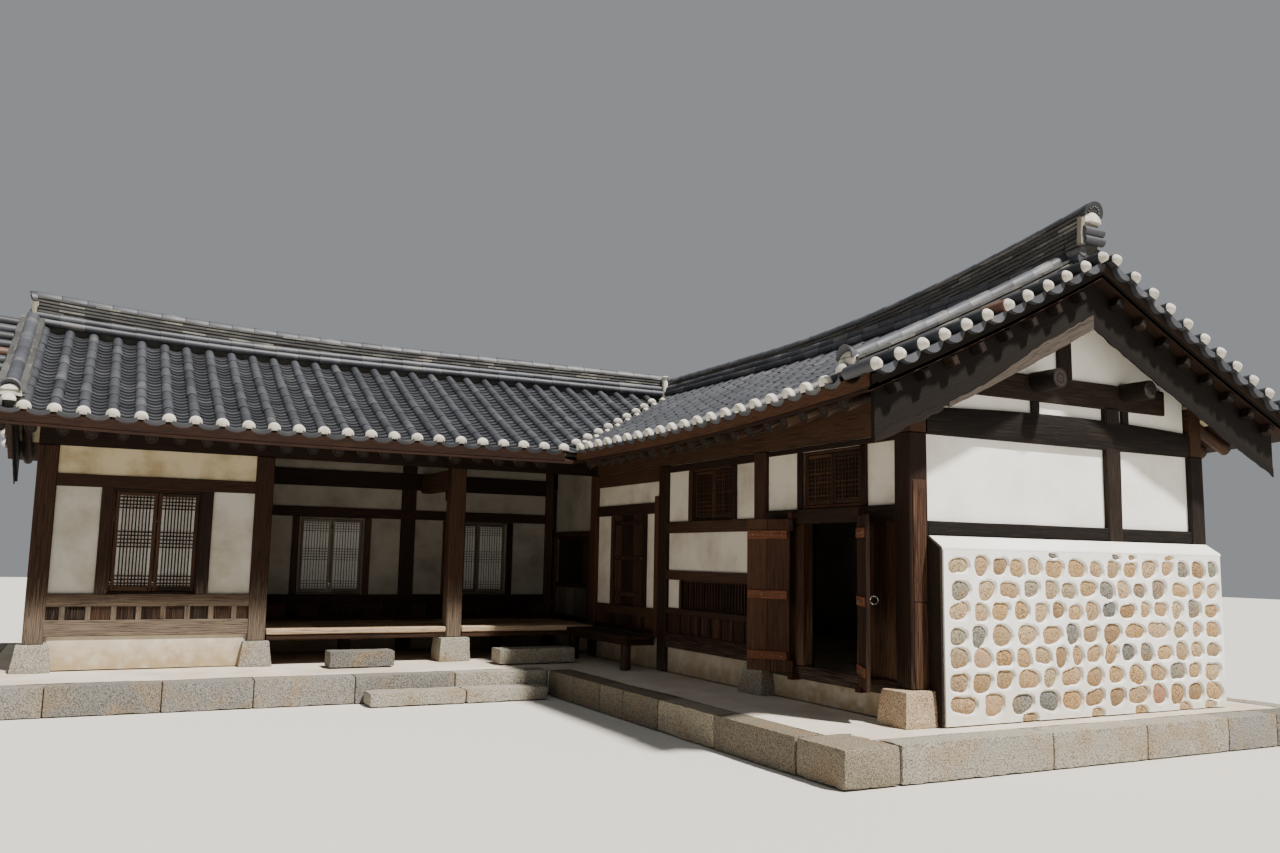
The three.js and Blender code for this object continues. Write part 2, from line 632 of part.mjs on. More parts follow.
function addDoorLeaf(name, { y, open }, side) {
  const { x, bottom, top, width, thick, gap } = DOOR;
  const span = [side * gap, side * width].sort((a, b) => a - b);
  const reach = [0, side * width].sort((a, b) => a - b);
  const inner = [thick / 2 - 5, thick / 2 + BATTEN.proud];
  const battenSpan = [span[0] + BATTEN.inset, span[1] - BATTEN.inset];
  const tongue = [-12, 12];
  const shape = shapeOf(fuse([
    box([-thick / 2, thick / 2], span, [bottom, top]),
    ...BATTEN.above.map((z) => box(inner, battenSpan, [bottom + z, bottom + z + BATTEN.high])),
    upright(PIN.radius, 24, bottom - PIN.long, bottom + 60, 0, 0),
    upright(PIN.radius, 24, top - 60, top + PIN.long, 0, 0),
    box(tongue, reach, [bottom, bottom + 60]),
    box(tongue, reach, [top - 60, top]),
  ]));
  const hinge = new THREE.Group();
  hinge.position.set(x, y, 0);
  hinge.rotation.z = THREE.MathUtils.degToRad(-open);
  group.add(hinge);
  addPiece(name, shape, WOOD, hinge);
}

function addDoor() {
  addDoorLeaf('door_leaf_left', DOOR_HINGES[0], -1);
  addDoorLeaf('door_leaf_right', DOOR_HINGES[1], 1);
}

// Gable

const GABLE_POST_X = 2860;
const RIGHT_POST_X = RIGHT_FACE - POST;

function underBoards(x, y) {
  return rightRoofZ(x, y) - BOARD_DROP - BOARDING - SEAT - 2;
}

function addGable() {
  const face = GABLE_FACE;
  const clearOfPlates = [260, RIGHT_POST_X - 20];
  const curved = steps(...clearOfPlates, 8).map((x) => {
    const share = (x - RIDGE_X) / 2030;
    return [x, 3540 - 60 * share * share];
  });
  const beamFoot = 3210;
  const beam = [[POST + SEAT, beamFoot], [RIGHT_POST_X - SEAT, beamFoot], ...curved.reverse()];
  const purlins = { xs: [1800, 3220], z: 3880, radius: 110 };
  addPiece('frame_gable', fuse([
    box([GABLE_POST_X, GABLE_POST_X + POST], [face, face + POST], [PLATFORM_TOP, 3700]),
    box([RIGHT_POST_X, RIGHT_FACE], [face, face + POST], [FOOT_TOP + SEAT, PLATE_BOTTOM - SEAT]),
    ...timbersY(face, [
      [POST + SEAT, RIGHT_POST_X + JOIN, 2190 + SEAT, 2340],
      [700, 3900, 3670, 3960],
      [2160, 2380, 3900, 4560],
    ]),
    slabXZ(beam, face + RAIL_FRONT, face + PANEL_FRONT - SEAT),
    ...purlins.xs.map((x) => log(
      new THREE.Vector3(x, FRONT_BARGE_Y + BARGE_THICK + SEAT, purlins.z),
      new THREE.Vector3(x, face + PANEL_FRONT - SEAT, purlins.z), purlins.radius, 10)),
    ...timbersY(face, purlins.xs.map((x) => [x - 60, x + 60, 3500, 3700])),
  ]), WOOD);
  const shoulder = PLATE_BOTTOM - 10;
  const roofLine = steps(...clearOfPlates, 12).map((x) => [x, underBoards(x, face + PANEL_FRONT) - 10]);
  const outline = [
    [POST + SEAT, PLATFORM_TOP], [RIGHT_POST_X - SEAT, PLATFORM_TOP],
    [RIGHT_POST_X - SEAT, shoulder], [clearOfPlates[1], shoulder],
    ...roofLine.reverse(), [clearOfPlates[0], shoulder], [POST + SEAT, shoulder],
  ];
  addPiece('plaster_gable', cut(fuse([slabXZ(outline, face + PANEL_FRONT, face + PANEL_BACK)]), [
    box([GABLE_POST_X - SEAT, GABLE_POST_X + POST + SEAT], [face, face + 300], [0, 3701]),
    cornerStone(SEAT),
    gableStone(SEAT),
  ]), PLASTER);
  addPiece('stone_wall_gable', cut(fuse([slabYZ(
    [[face - 180, PLATFORM_TOP], [face - SEAT, PLATFORM_TOP], [face - SEAT, 2190], [face - 180, 2080]],
    POST, 4500)]), [
    cornerStone(SEAT),
  ]), PLASTER);
}

// A chevron of two boards that follow the roof's edge: its outline, from eave to eave.
const BARGE = { drop: BOARD_DROP + BOARDING + 4, high: 520, inset: 260, steps: 24 };

function chevron(from, to, roofZ) {
  const ends = [from + BARGE.inset, to - BARGE.inset];
  const tops = steps(...ends, BARGE.steps).map((across) => [across, roofZ(across) - BARGE.drop]);
  const bottoms = tops.map(([across, z]) => [across, z - BARGE.high]);
  return [...bottoms, ...tops.reverse()];
}

function addBargeboards() {
  const gable = chevron(RIGHT_EAVE_X, FAR_EAVE_X, (x) => rightRoofZ(x, FRONT_BARGE_Y + BARGE_THICK / 2));
  const left = chevron(LEFT_EAVE_Y, BACK_EAVE_Y, (y) => leftRoofZ(LEFT_BARGE_X + BARGE_THICK / 2, y));
  addPiece('bargeboards_gable', slabXZ(gable, FRONT_BARGE_Y, FRONT_BARGE_Y + BARGE_THICK), WOOD);
  addPiece('bargeboards_left_end', slabYZ(left, LEFT_BARGE_X, LEFT_BARGE_X + BARGE_THICK), WOOD);
}

// Hidden sides: plain timber and plaster, as the others.

// Level timbers of these walls, as [z0, z1].
const HIDDEN_RAILS = [[3060, PLATE_BOTTOM - SEAT], [2400, 2540], [1160, 1320], [700, 900]];
const HIDDEN_SILL = 1320;
const HIDDEN_HEAD = 2400;

function addBackWall() {
  const high = [PLATFORM_TOP, PLATE_BOTTOM - SEAT];
  const back = BACK_FACE;
  const ends = [LEFT_END + 20, RIGHT_FACE - 20];
  const posts = [LEFT_END, HALL_LEFT, -2600, 0, 2140, RIGHT_POST_X];
  const holes = [[-7000, -5900], [-4400, -3300]];
  addPiece('back_wall', cut(fuse([
    box(ends, [back - PANEL_BACK, back - PANEL_FRONT], high),
    ...posts.map((x) => box([x, x + POST], [back - POST, back], high)),
    ...HIDDEN_RAILS.map((rail) => box(ends, [back - 70, back - RAIL_FRONT], rail)),
  ]), holes.map((hole) => box(hole, [back - 300, back], [HIDDEN_SILL, HIDDEN_HEAD]))), PLASTER);
  holes.forEach(([x0, x1], i) => {
    const panel = windowY(x0 + SEAT, x1 - SEAT, HIDDEN_SILL + SEAT, HIDDEN_HEAD - SEAT, 0);
    const turned = panel.rotate([0, 0, 180]).translate([x0 + x1, back - IN_HOLE, 0]);
    addPiece(['window_back_left', 'window_back_right'][i], turned, PAPER);
  });
}

function addRightSideWall() {
  const high = [PLATFORM_TOP, PLATE_BOTTOM - SEAT];
  const right = RIGHT_FACE;
  const ends = [GABLE_FACE + POST + SEAT, BACK_FACE - POST - SEAT];
  const [y0, y1] = [-3900, -2900];
  addPiece('right_side_wall', cut(fuse([
    box([right - PANEL_BACK, right - PANEL_FRONT], ends, high),
    ...[...BAY_POSTS_Y, 1900].map((y) => box([right - POST, right], [y, y + POST], high)),
    ...HIDDEN_RAILS.map((rail) => box([right - 70, right - RAIL_FRONT], ends, rail)),
  ]), [
    gableStone(SEAT),
    box([right - 300, right], [y0, y1], [HIDDEN_SILL, HIDDEN_HEAD]),
  ]), PLASTER);
  const panel = windowX(y0 + SEAT, y1 - SEAT, HIDDEN_SILL + SEAT, HIDDEN_HEAD - SEAT, 0);
  const turned = panel.rotate([0, 0, 180]).translate([right - IN_HOLE, y0 + y1, 0]);
  addPiece('window_right_side', turned, PAPER);
}

function addLeftEndWall() {
  const face = LEFT_END;
  const side = [POST + SEAT, BACK_FACE - POST - SEAT];
  const shoulder = PLATE_BOTTOM - 10;
  const inner = [POST + 20, BACK_FACE - POST - 20];
  const rise = steps(...inner, 12)
    .map((y) => [y, leftRoofZ(face + POST / 2, y) - BOARD_DROP - BOARDING - 12]);
  const outline = [
    [side[0], PLATFORM_TOP], [side[1], PLATFORM_TOP], [side[1], shoulder],
    [inner[1], shoulder], ...rise.reverse(), [inner[0], shoulder], [side[0], shoulder],
  ];
  addPiece('left_end_wall', cut(fuse([
    slabYZ(outline, face + PANEL_FRONT, face + PANEL_BACK),
    box([face, face + POST], [1830, 2070], [PLATFORM_TOP, 3700]),
    ...HIDDEN_RAILS.map(([z0, z1]) => box([face + RAIL_FRONT, face + 70], side, [z0, z1])),
  ]), [postStone(LEFT_END, SEAT)]), PLASTER);
}

// Ridges of stacked tiles

// A ridge along a path: at each point the foot, the height, and the half widths at foot and top.
function ridge(stations) {
  const rings = stations.map(({ at, across, low, high, foot, crown }) => {
    const bend = low + (high - low) * 0.3;
    const ring = [
      [-foot, low], [foot, low], [foot, bend], [crown, high - crown],
      [crown / 2, high], [-crown / 2, high], [-crown, high - crown], [-foot, bend],
    ];
    return ring.map(([side, z]) => [at[0] + across[0] * side, at[1] + across[1] * side, z]);
  });
  const sides = rings[0].length;
  const points = rings.flat(2);
  const faces = [];
  for (let i = 0; i + 1 < rings.length; i += 1) {
    for (let k = 0; k < sides; k += 1) {
      const next = (k + 1) % sides;
      const [a, b, c, d] = [i * sides + k, i * sides + next, (i + 1) * sides + next, (i + 1) * sides + k];
      faces.push(a, c, b, a, d, c);
    }
  }
  const last = (rings.length - 1) * sides;
  for (let k = 1; k + 1 < sides; k += 1) {
    faces.push(0, k, k + 1);
    faces.push(last, last + k + 1, last + k);
  }
  const shape = new THREE.BufferGeometry();
  shape.setAttribute('position', new THREE.Float32BufferAttribute(points, 3));
  shape.setIndex(faces);
  return shape;
}

function facingOut(shape) {
  const body = solid(shape);
  if (body.volume() > 0) return shape;
  const turned = shape.clone();
  const index = Array.from(turned.index.array);
  for (let i = 0; i < index.length; i += 3) [index[i], index[i + 1]] = [index[i + 1], index[i]];
  turned.setIndex(index);
  return turned;
}

const RIDGE = { foot: 150, crown: 100, sink: 120 };
const FALL = { foot: 130, crown: 90, high: 260, sink: 100 };
const LEFT_FALL_X = -8150;
const RIGHT_FALL_Y = -7500;
const RIGHT_RIDGE_END = -7780;

function leftRidgeTop(x) {
  return 5330 + liftPast(-x, 2500, 5650, 250);
}

function rightRidgeTop(y) {
  return 5260 + liftPast(-y, 1500, 6280, 600);
}

// The ridge's own stations, then those of a descending ridge on each slope.
function leftMain() {
  return steps(LEFT_FALL_X, RIDGE_X - 160, 16).map((x) => ({
    ...RIDGE, at: [x, RIDGE_Y], across: [0, 1],
    low: leftRoofZ(x, RIDGE_Y) - RIDGE.sink, high: leftRidgeTop(x),
  }));
}

function rightMain() {
  return steps(RIGHT_RIDGE_END, RIDGE_Y, 16).map((y) => ({
    ...RIDGE, at: [RIDGE_X, y], across: [-1, 0],
    low: rightRoofZ(RIDGE_X, y) - RIDGE.sink, high: rightRidgeTop(y),
  }));
}

function leftFall(sign) {
  return steps(0, 0.96, 8).map((share) => {
    const y = RIDGE_Y + sign * LEFT_RUN * share;
    const z = leftRoofZ(LEFT_FALL_X, y);
    return { ...FALL, at: [LEFT_FALL_X, y], across: [-sign, 0], low: z - FALL.sink, high: z + FALL.high };
  });
}

function rightFall(sign) {
  return steps(0, 0.975, 8).map((share) => {
    const x = RIDGE_X + sign * RIGHT_RUN * share;
    const z = rightRoofZ(x, RIGHT_FALL_Y);
    return { ...FALL, at: [x, RIGHT_FALL_Y], across: [0, sign], low: z - FALL.sink, high: z + FALL.high };
  });
}

function hip() {
  const turn = Math.SQRT1_2;
  return steps(0, 0.96, 8).map((share) => {
    const at = [RIDGE_X + RIGHT_RUN * share, RIDGE_Y + LEFT_RUN * share];
    const z = rightRoofZ(...at);
    return { ...FALL, at, across: [-turn, turn], low: z - RIDGE.sink - 40, high: z + FALL.high };
  });
}

// Ridges are carved by the roofs under them, and what is left above the tiles is kept.
function bedded(lines) {
  const roofs = [leftSheet(-TILE_BED, TILE_DEPTH, 5), rightSheet(-TILE_BED, TILE_DEPTH, 5)].map(solid);
  const whole = fuse(lines.map(ridge).map(facingOut));
  const carved = roofs.reduce(
    (left, roof) => left.subtract(roof.translate([0, 0, SEAT])).subtract(roof), whole);
  return carved.decompose().sort((a, b) => b.volume() - a.volume())[0];
}

function addRidges() {
  addPiece('ridge_left_wing', bedded([leftMain(), leftFall(-1), leftFall(1)]), TILE);
  addPiece('ridge_right_wing', bedded([rightMain(), rightFall(-1), rightFall(1), hip()]), TILE);
}

addPlatform();
addFloors();
addLeftBay();
addHall();
addCourtBays();
addDoor();
addGable();
addBackWall();
addRightSideWall();
addLeftEndWall();
addRoof();
addBargeboards();
addRidges();

export default group;
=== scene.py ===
"""Dresses an L-shaped hanok: old pine, lime plaster, granite, window paper and smoked clay tiles.

Metres, +Z up. X runs to the right along the left wing's front and Y to the back, from the inner
corner of the L at yard level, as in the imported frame.
"""
import logging
import math
import random
from collections.abc import Callable, Sequence
from dataclasses import dataclass
from enum import Enum
from functools import partial

import bpy
import numpy as np
from mathutils import Matrix, Vector, noise
from numpy.linalg import norm


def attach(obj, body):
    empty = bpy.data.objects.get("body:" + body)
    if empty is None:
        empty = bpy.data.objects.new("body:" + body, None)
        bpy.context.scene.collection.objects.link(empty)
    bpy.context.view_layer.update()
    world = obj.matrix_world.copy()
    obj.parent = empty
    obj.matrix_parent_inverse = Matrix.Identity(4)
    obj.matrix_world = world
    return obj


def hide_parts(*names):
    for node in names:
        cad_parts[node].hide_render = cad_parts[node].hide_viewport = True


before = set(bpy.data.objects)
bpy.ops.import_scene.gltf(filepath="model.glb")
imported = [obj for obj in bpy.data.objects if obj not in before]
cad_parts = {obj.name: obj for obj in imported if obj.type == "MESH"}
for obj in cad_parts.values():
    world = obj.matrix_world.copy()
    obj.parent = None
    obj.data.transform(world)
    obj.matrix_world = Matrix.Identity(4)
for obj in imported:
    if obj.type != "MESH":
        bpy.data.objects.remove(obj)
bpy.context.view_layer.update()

log = logging.getLogger("hanok")
# Short names for hints: arrays, corners and pairs, and bleaching as a number or a function of points
Array = np.ndarray
Numbers = Sequence[float]
Two, Three, Four = tuple[float, float], tuple[float, float, float], tuple[float, float, float, float]
Wear = float | Callable[[Array], Array]
AddNode = Callable[..., bpy.types.NodeSocket]


# Finishes

def linear(colour: object) -> object:
    """Turn an sRGB hex colour into linear RGBA, and leave any other value as it is.

    Args:
        colour: The colour, or anything else.

    Returns:
        The linear colour, or the value.
    """
    if not isinstance(colour, str):
        return colour
    channels = [int(colour[i:i + 2], 16) / 255 for i in (1, 3, 5)]
    return (*(c / 12.92 if c <= 0.04045 else ((c + 0.055) / 1.055) ** 2.4 for c in channels), 1.0)


def fill_node(node: bpy.types.Node, settings: dict) -> None:
    """Set a node's sockets and properties.

    Args:
        node: The node.
        settings: By socket name or number, or property name: a value, a hex colour, another node's
            output to link, or a ramp's stops.
    """
    for key, value in settings.items():
        if key == "stops":
            elements = node.color_ramp.elements
            for index, (place, colour) in enumerate(value):
                stop = elements[index] if index < 2 else elements.new(place)
                stop.position, stop.color = place, linear(colour)
        elif isinstance(value, bpy.types.NodeSocket):
            node.id_data.links.new(value, node.inputs[key])
        elif isinstance(key, int) or key in node.inputs:
            node.inputs[key].default_value = linear(value)
        else:
            setattr(node, key, value)


def add_node(tree: bpy.types.NodeTree, kind: str, settings: dict | None = None,
             out: int | str = 0) -> bpy.types.NodeSocket:
    """Add a shader node with its settings and links.

    Args:
        tree: The material's node tree.
        kind: The node's type, without its ShaderNode prefix.
        settings: What fill_node takes.
        out: The output that is wanted.

    Returns:
        The new node's output.
    """
    made = tree.nodes.new("ShaderNode" + kind)
    fill_node(made, settings or {})
    return made.outputs[out]


@dataclass(frozen=True)
class Finish:
    """A surface that is painted once, as a node material."""

    name: str

    def material(self) -> bpy.types.Material:
        """Return the finish's material, made on first use.

        Returns:
            The material.
        """
        made = bpy.data.materials.get(self.name)
        if made is None:
            made = bpy.data.materials.new(self.name)
            made.use_nodes = True
            tree = made.node_tree
            fill_node(tree.nodes["Principled BSDF"], self.paint(partial(add_node, tree)))
        return made

    def paint(self, add: AddNode) -> dict:
        """Return the shader's settings; each finish has its own nodes behind them."""
        raise NotImplementedError


@dataclass(frozen=True)
class SmokedClay(Finish):
    """Giwa clay, fired in smoke: a carbon skin that reads dull blue-grey, paler where rain has worn it."""

    dark: str = "#1f2023"
    pale: str = "#404248"
    worn: str = "#605e5b"
    by_tile: float = 0.3
    cloud_mm: float = 260.0
    # The real grit is under 1 mm; 14 mm is the finest that shows.
    grit_mm: float = 14.0

    def paint(self, add: AddNode) -> dict:
        """Cloud each tile's own tone with soot, wear and grit.

        Args:
            add: The function that adds a node.

        Returns:
            The shader's settings.
        """
        coords = add("TexCoord", out="Object")
        tone = add("Attribute", {"attribute_name": "tone"}, "Fac")
        cloud = add("TexNoise", {"Scale": 1000 / self.cloud_mm, "Detail": 5.0, "Vector": coords})
        grit = add("TexNoise", {"Scale": 1000 / self.grit_mm, "Detail": 3.0, "Vector": coords})
        own = add("Math", {
            "operation": "MULTIPLY_ADD", 0: tone, 1: self.by_tile, 2: 0.25 - self.by_tile / 2})
        clouded = add("Math", {"operation": "MULTIPLY_ADD", 0: cloud, 1: 0.55, 2: own})
        speckled = add("Math", {"operation": "MULTIPLY_ADD", 0: grit, 1: 0.25, 2: clouded})
        skin = add("ValToRGB", {
            "stops": ((0.30, self.dark), (0.80, self.pale), (0.95, self.worn)), "Fac": speckled})
        bump = add("Bump", {"Strength": 0.35, "Distance": 0.003, "Height": grit})
        return {"Base Color": skin, "Normal": bump, "Roughness": 0.52, "IOR": 1.5}


@dataclass(frozen=True)
class AgedPine(Finish):
    """Adzed pine, brown from smoke and oil: long streaks and drying cracks, silver where rain reaches it."""

    dark: str = "#150c08"
    mid: str = "#2b1a11"
    pale: str = "#453022"
    worn: str = "#857868"
    streak_mm: float = 9.0
    run_mm: float = 450.0
    crack_mm: float = 34.0
    rough: float = 0.72

    def paint(self, add: AddNode) -> dict:
        """Stretch noise along the grain for streaks and cracks, and bleach it by wear.

        Args:
            add: The function that adds a node.

        Returns:
            The shader's settings.
        """
        grain = add("UVMap", {"uv_map": "grain"})
        tone = add("Attribute", {"attribute_name": "tone"}, "Fac")
        wear = add("Attribute", {"attribute_name": "wear"}, "Fac")
        along = 1000 / self.run_mm
        fine = add("Mapping", {"Scale": (along, 1000 / self.streak_mm, 1.0), "Vector": grain})
        streak = add("TexNoise", {"Scale": 1.0, "Detail": 6.0, "Roughness": 0.6, "Vector": fine})
        split = add("Mapping", {"Scale": (along * 0.6, 1000 / self.crack_mm, 1.0), "Vector": grain})
        crack = add("TexNoise", {"Scale": 1.0, "Detail": 4.0, "Vector": split})
        mixed = add("Math", {"operation": "MULTIPLY_ADD", 0: tone, 1: 0.4, 2: streak})
        wood = add("ValToRGB", {
            "stops": ((0.42, self.dark), (0.68, self.mid), (0.95, self.pale)), "Fac": mixed})
        reach = add("Math", {"operation": "MULTIPLY_ADD", 0: wear, 1: 1.1, 2: -1.3})
        silver = add("Math", {"operation": "MULTIPLY_ADD", "use_clamp": True, 0: streak, 1: 1.75, 2: reach})
        weathered = add("Mix", {"data_type": "RGBA", 0: silver, 6: wood, 7: self.worn}, 2)
        line = add("ValToRGB", {
            "stops": ((0.455, (1, 1, 1, 1)), (0.475, (0.25, 0.25, 0.25, 1)), (0.50, (1, 1, 1, 1))),
            "Fac": crack})
        cracked = add("Mix", {
            "data_type": "RGBA", "blend_type": "MULTIPLY", 0: 0.8, 6: weathered, 7: line}, 2)
        bump = add("Bump", {"Strength": 0.5, "Distance": 0.004, "Height": line})
        rub = add("Bump", {"Strength": 0.35, "Distance": 0.002, "Height": streak, "Normal": bump})
        return {"Base Color": cracked, "Normal": rub, "Roughness": self.rough, "IOR": 1.45,
                "Specular IOR Level": 0.2}


@dataclass(frozen=True)
class EndGrain(Finish):
    """The sawn end of a pine log, greyed by weather: year rings and drying shakes."""

    dark: str = "#16100c"
    pale: str = "#2e2620"
    ring_mm: float = 8.0

    def paint(self, add: AddNode) -> dict:
        """Draw rings round the middle of the log's end.

        Args:
            add: The function that adds a node.

        Returns:
            The shader's settings.
        """
        face = add("UVMap", {"uv_map": "grain"})
        rings = add("TexWave", {
            "wave_type": "RINGS", "rings_direction": "SPHERICAL", "Scale": 1000 / self.ring_mm / 20,
            "Distortion": 2.5, "Detail": 2.0, "Detail Scale": 2.0, "Vector": face}, "Fac")
        stain = add("TexNoise", {"Scale": 18.0, "Detail": 3.0, "Vector": face})
        mixed = add("Math", {"operation": "MULTIPLY", 0: rings, 1: stain})
        wood = add("ValToRGB", {"stops": ((0.05, self.dark), (0.55, self.pale)), "Fac": mixed})
        return {"Base Color": wood, "Roughness": 0.85, "Specular IOR Level": 0.2}


@dataclass(frozen=True)
class LimePlaster(Finish):
    """Trowelled lime over clay: matt off-white with soft trowel swells, yellow clouds and splashed feet."""

    pale: str = "#e6e2d9"
    cloud: str = "#cfc6b4"
    dirt: str = "#a08c6c"
    cloud_mm: float = 650.0
    trowel_mm: float = 120.0
    splash_top: float = 0.95
    splash: float = 0.55

    def paint(self, add: AddNode) -> dict:
        """Cloud the white, and dirty it near the ground.

        Args:
            add: The function that adds a node.

        Returns:
            The shader's settings.
        """
        coords = add("TexCoord", out="Object")
        cloud = add("TexNoise", {
            "Scale": 1000 / self.cloud_mm, "Detail": 6.0, "Roughness": 0.62, "Vector": coords})
        trowel = add("TexNoise", {"Scale": 1000 / self.trowel_mm, "Detail": 4.0, "Vector": coords})
        lime = add("ValToRGB", {"stops": ((0.42, self.pale), (0.72, self.cloud)), "Fac": cloud})
        height = add("SeparateXYZ", {0: coords}, 2)
        low = add("MapRange", {0: height, 1: self.splash_top, 2: 0.4, 3: 0.0, 4: 1.0})
        foot = add("Math", {"operation": "MULTIPLY", 0: low, 1: trowel})
        amount = add("Math", {"operation": "MULTIPLY", "use_clamp": True, 0: foot, 1: self.splash * 2})
        dirty = add("Mix", {"data_type": "RGBA", 0: amount, 6: lime, 7: self.dirt}, 2)
        bump = add("Bump", {"Strength": 0.35, "Distance": 0.006, "Height": trowel})
        return {"Base Color": dirty, "Normal": bump, "Roughness": 0.92}


@dataclass(frozen=True)
class HewnStone(Finish):
    """Split granite or field stone: a coarse speckle of feldspar and mica under earthy stains."""

    tones: tuple[str, ...] = ("#63615b", "#86817a", "#a19a8b")
    stain: str = "#94794f"
    stained: float = 0.55
    # Mica is 2 to 4 mm; 13 mm is the finest that shows.
    speckle_mm: float = 13.0
    fleck: float = 0.8
    pit_mm: float = 30.0
    by_stone: float = 1.0

    def paint(self, add: AddNode) -> dict:
        """Ramp over each stone's own tone, then speckle, stain and pit it.

        Args:
            add: The function that adds a node.

        Returns:
            The shader's settings.
        """
        coords = add("TexCoord", out="Object")
        tone = add("Attribute", {"attribute_name": "tone"}, "Fac")
        patch = add("TexNoise", {"Scale": 3.0, "Detail": 5.0, "Vector": coords})
        speckle = add("TexNoise", {"Scale": 1000 / self.speckle_mm, "Detail": 2.0, "Vector": coords})
        pit = add("TexNoise", {"Scale": 1000 / self.pit_mm, "Detail": 5.0, "Vector": coords})
        own = add("Math", {"operation": "MULTIPLY_ADD", 0: tone, 1: self.by_stone, 2: -0.15})
        mixed = add("Math", {"operation": "MULTIPLY_ADD", 0: speckle, 1: 0.3, 2: own})
        last = max(1, len(self.tones) - 1)
        body = add("ValToRGB", {
            "stops": [(i / last, shade) for i, shade in enumerate(self.tones)], "Fac": mixed})
        rust = add("MapRange", {0: patch, 1: 0.5, 2: 0.72, 3: 0.0, 4: self.stained})
        stained = add("Mix", {"data_type": "RGBA", 0: rust, 6: body, 7: self.stain}, 2)
        grey = add("ValToRGB", {
            "stops": ((0.40, (0.22, 0.22, 0.22, 1)), (0.53, (1, 1, 1, 1))), "Fac": speckle})
        flecked = add("Mix", {
            "data_type": "RGBA", "blend_type": "MULTIPLY", 0: self.fleck, 6: stained, 7: grey}, 2)
        bump = add("Bump", {"Strength": 0.8, "Distance": 0.012, "Height": pit})
        return {"Base Color": flecked, "Normal": bump, "Roughness": 0.85}


@dataclass(frozen=True)
class MulberryPaper(Finish):
    """Hanji, couched by hand from mulberry bark: grey-white and matt, with long faint fibres."""

    pale: str = "#c9cac6"
    fibre: str = "#a9a9a3"
    fibre_mm: float = 25.0

    def paint(self, add: AddNode) -> dict:
        """Thread faint fibres through the sheet.

        Args:
            add: The function that adds a node.

        Returns:
            The shader's settings.
        """
        coords = add("TexCoord", out="Object")
        fibre = add("TexNoise", {
            "Scale": 1000 / self.fibre_mm, "Detail": 6.0, "Distortion": 3.0, "Vector": coords})
        sheet = add("ValToRGB", {"stops": ((0.40, self.fibre), (0.56, self.pale)), "Fac": fibre})
        return {"Base Color": sheet, "Roughness": 0.9}


@dataclass(frozen=True)
class ForgedIron(Finish):
    """Hammered iron with a rubbed black scale, bright where hands take hold of it."""

    dark: str = "#2b2927"
    rubbed: str = "#8e8a84"
    hammer_mm: float = 12.0

    def paint(self, add: AddNode) -> dict:
        """Rub the scale through on the hammer marks.

        Args:
            add: The function that adds a node.

        Returns:
            The shader's settings.
        """
        coords = add("TexCoord", out="Object")
        mark = add("TexNoise", {"Scale": 1000 / self.hammer_mm, "Vector": coords})
        metal = add("ValToRGB", {"stops": ((0.42, self.dark), (0.62, self.rubbed)), "Fac": mark})
        bump = add("Bump", {"Strength": 0.4, "Distance": 0.001, "Height": mark})
        return {"Base Color": metal, "Normal": bump, "Metallic": 1.0, "Roughness": 0.48}


ROOF_CLAY = SmokedClay("smoked_clay_tile")
CAP_CLAY = SmokedClay("smoked_clay_ridge", "#242529", "#484a51", "#6e6c68", by_tile=0.4)
RUST_CLAY = SmokedClay("underfired_clay", "#3f2b22", "#6b4a3a", "#84685a")
# A darker copy of the tile clay, for tiles, lips and end tiles in shade: painted shade.
SHADE_CLAY = SmokedClay("shade_darkened_clay", "#191a1d", "#303338", "#4c4d4e")
LEAF_CLAY = SmokedClay("weathered_flat_tile", "#2c2c2f", "#51504d", "#858178", by_tile=0.5)
PLUG_LIME = LimePlaster("lime_plug", "#d2cdc2", "#a7a195", cloud_mm=90, trowel_mm=25, splash=0.0)
BED_LIME = LimePlaster("lime_bedding", "#c8c3b7", "#8f8a80", cloud_mm=160, trowel_mm=30,
                       splash=0.0)
# Dark bedding between a ridge's flat tiles, standing for the shade between them: painted shade.
SHADED_JOINT_BEDDING = LimePlaster("shade_darkened_bedding", "#4f4c47", "#302e2b", cloud_mm=160, trowel_mm=30,
                          splash=0.0)
# Grey-white lime darkened to the look of plaster in shade: partly its own grey, partly painted shade.
SHADED_WALL_LIME = LimePlaster("shaded_trowelled_lime", "#bdb9b0", "#9c9585", splash=0.8)
# Warm lime darkened for the court's shade: partly its own earthy tint, partly painted shade.
SHADED_COURT_LIME = LimePlaster("earthy_shaded_lime", "#c9c1b3", "#a5998a", splash=0.8)
# Lime darkened for the deep shade of the hall's recess and the ridges' cheeks: painted shade.
SHADOW_GREY_LIME = LimePlaster("shade_darkened_lime", "#857f74", "#645e53", splash=0.5)
GABLE_LIME = LimePlaster("limewash", "#f5f3ee", "#e4dfd4", splash=0.3)
CREAM_LIME = LimePlaster("clay_lime", "#c4b797", "#96835e", cloud_mm=420, splash=0.0)
FOOT_LIME = LimePlaster("splashed_lime", "#d3cbbb", "#ad9f88", splash=0.9)
EARTH = LimePlaster("beaten_earth", "#cfc4b4", "#b3a592", cloud_mm=900, trowel_mm=60, splash=0.0)
PINE = AgedPine("aged_pine")
RED_PINE = AgedPine("sheltered_pine", "#180d08", "#301c11", "#4b3120", "#836750")
BOARD_PINE = AgedPine("trodden_pine", "#57432f", "#8a6f50", "#b1967a", "#c4b096")
LEDGE_PINE = AgedPine("rubbed_pine", "#28150c", "#4a2b1a", "#6a422b", "#8c6850")
# Near-black pine for the gable's sooted timbers, and for dark backing behind planks and windows, where it is
# painted shade.
BLACK_PINE = AgedPine("sooted_pine_and_shade_backing", "#0a0705", "#150e0a", "#2c2119", "#4f4337")
# Bargeboard pine, darker still as painted shade from the verge.
BARGE_PINE = AgedPine("shade_darkened_bargeboard", "#060403", "#0d0906", "#1b140f", "#4f4337")
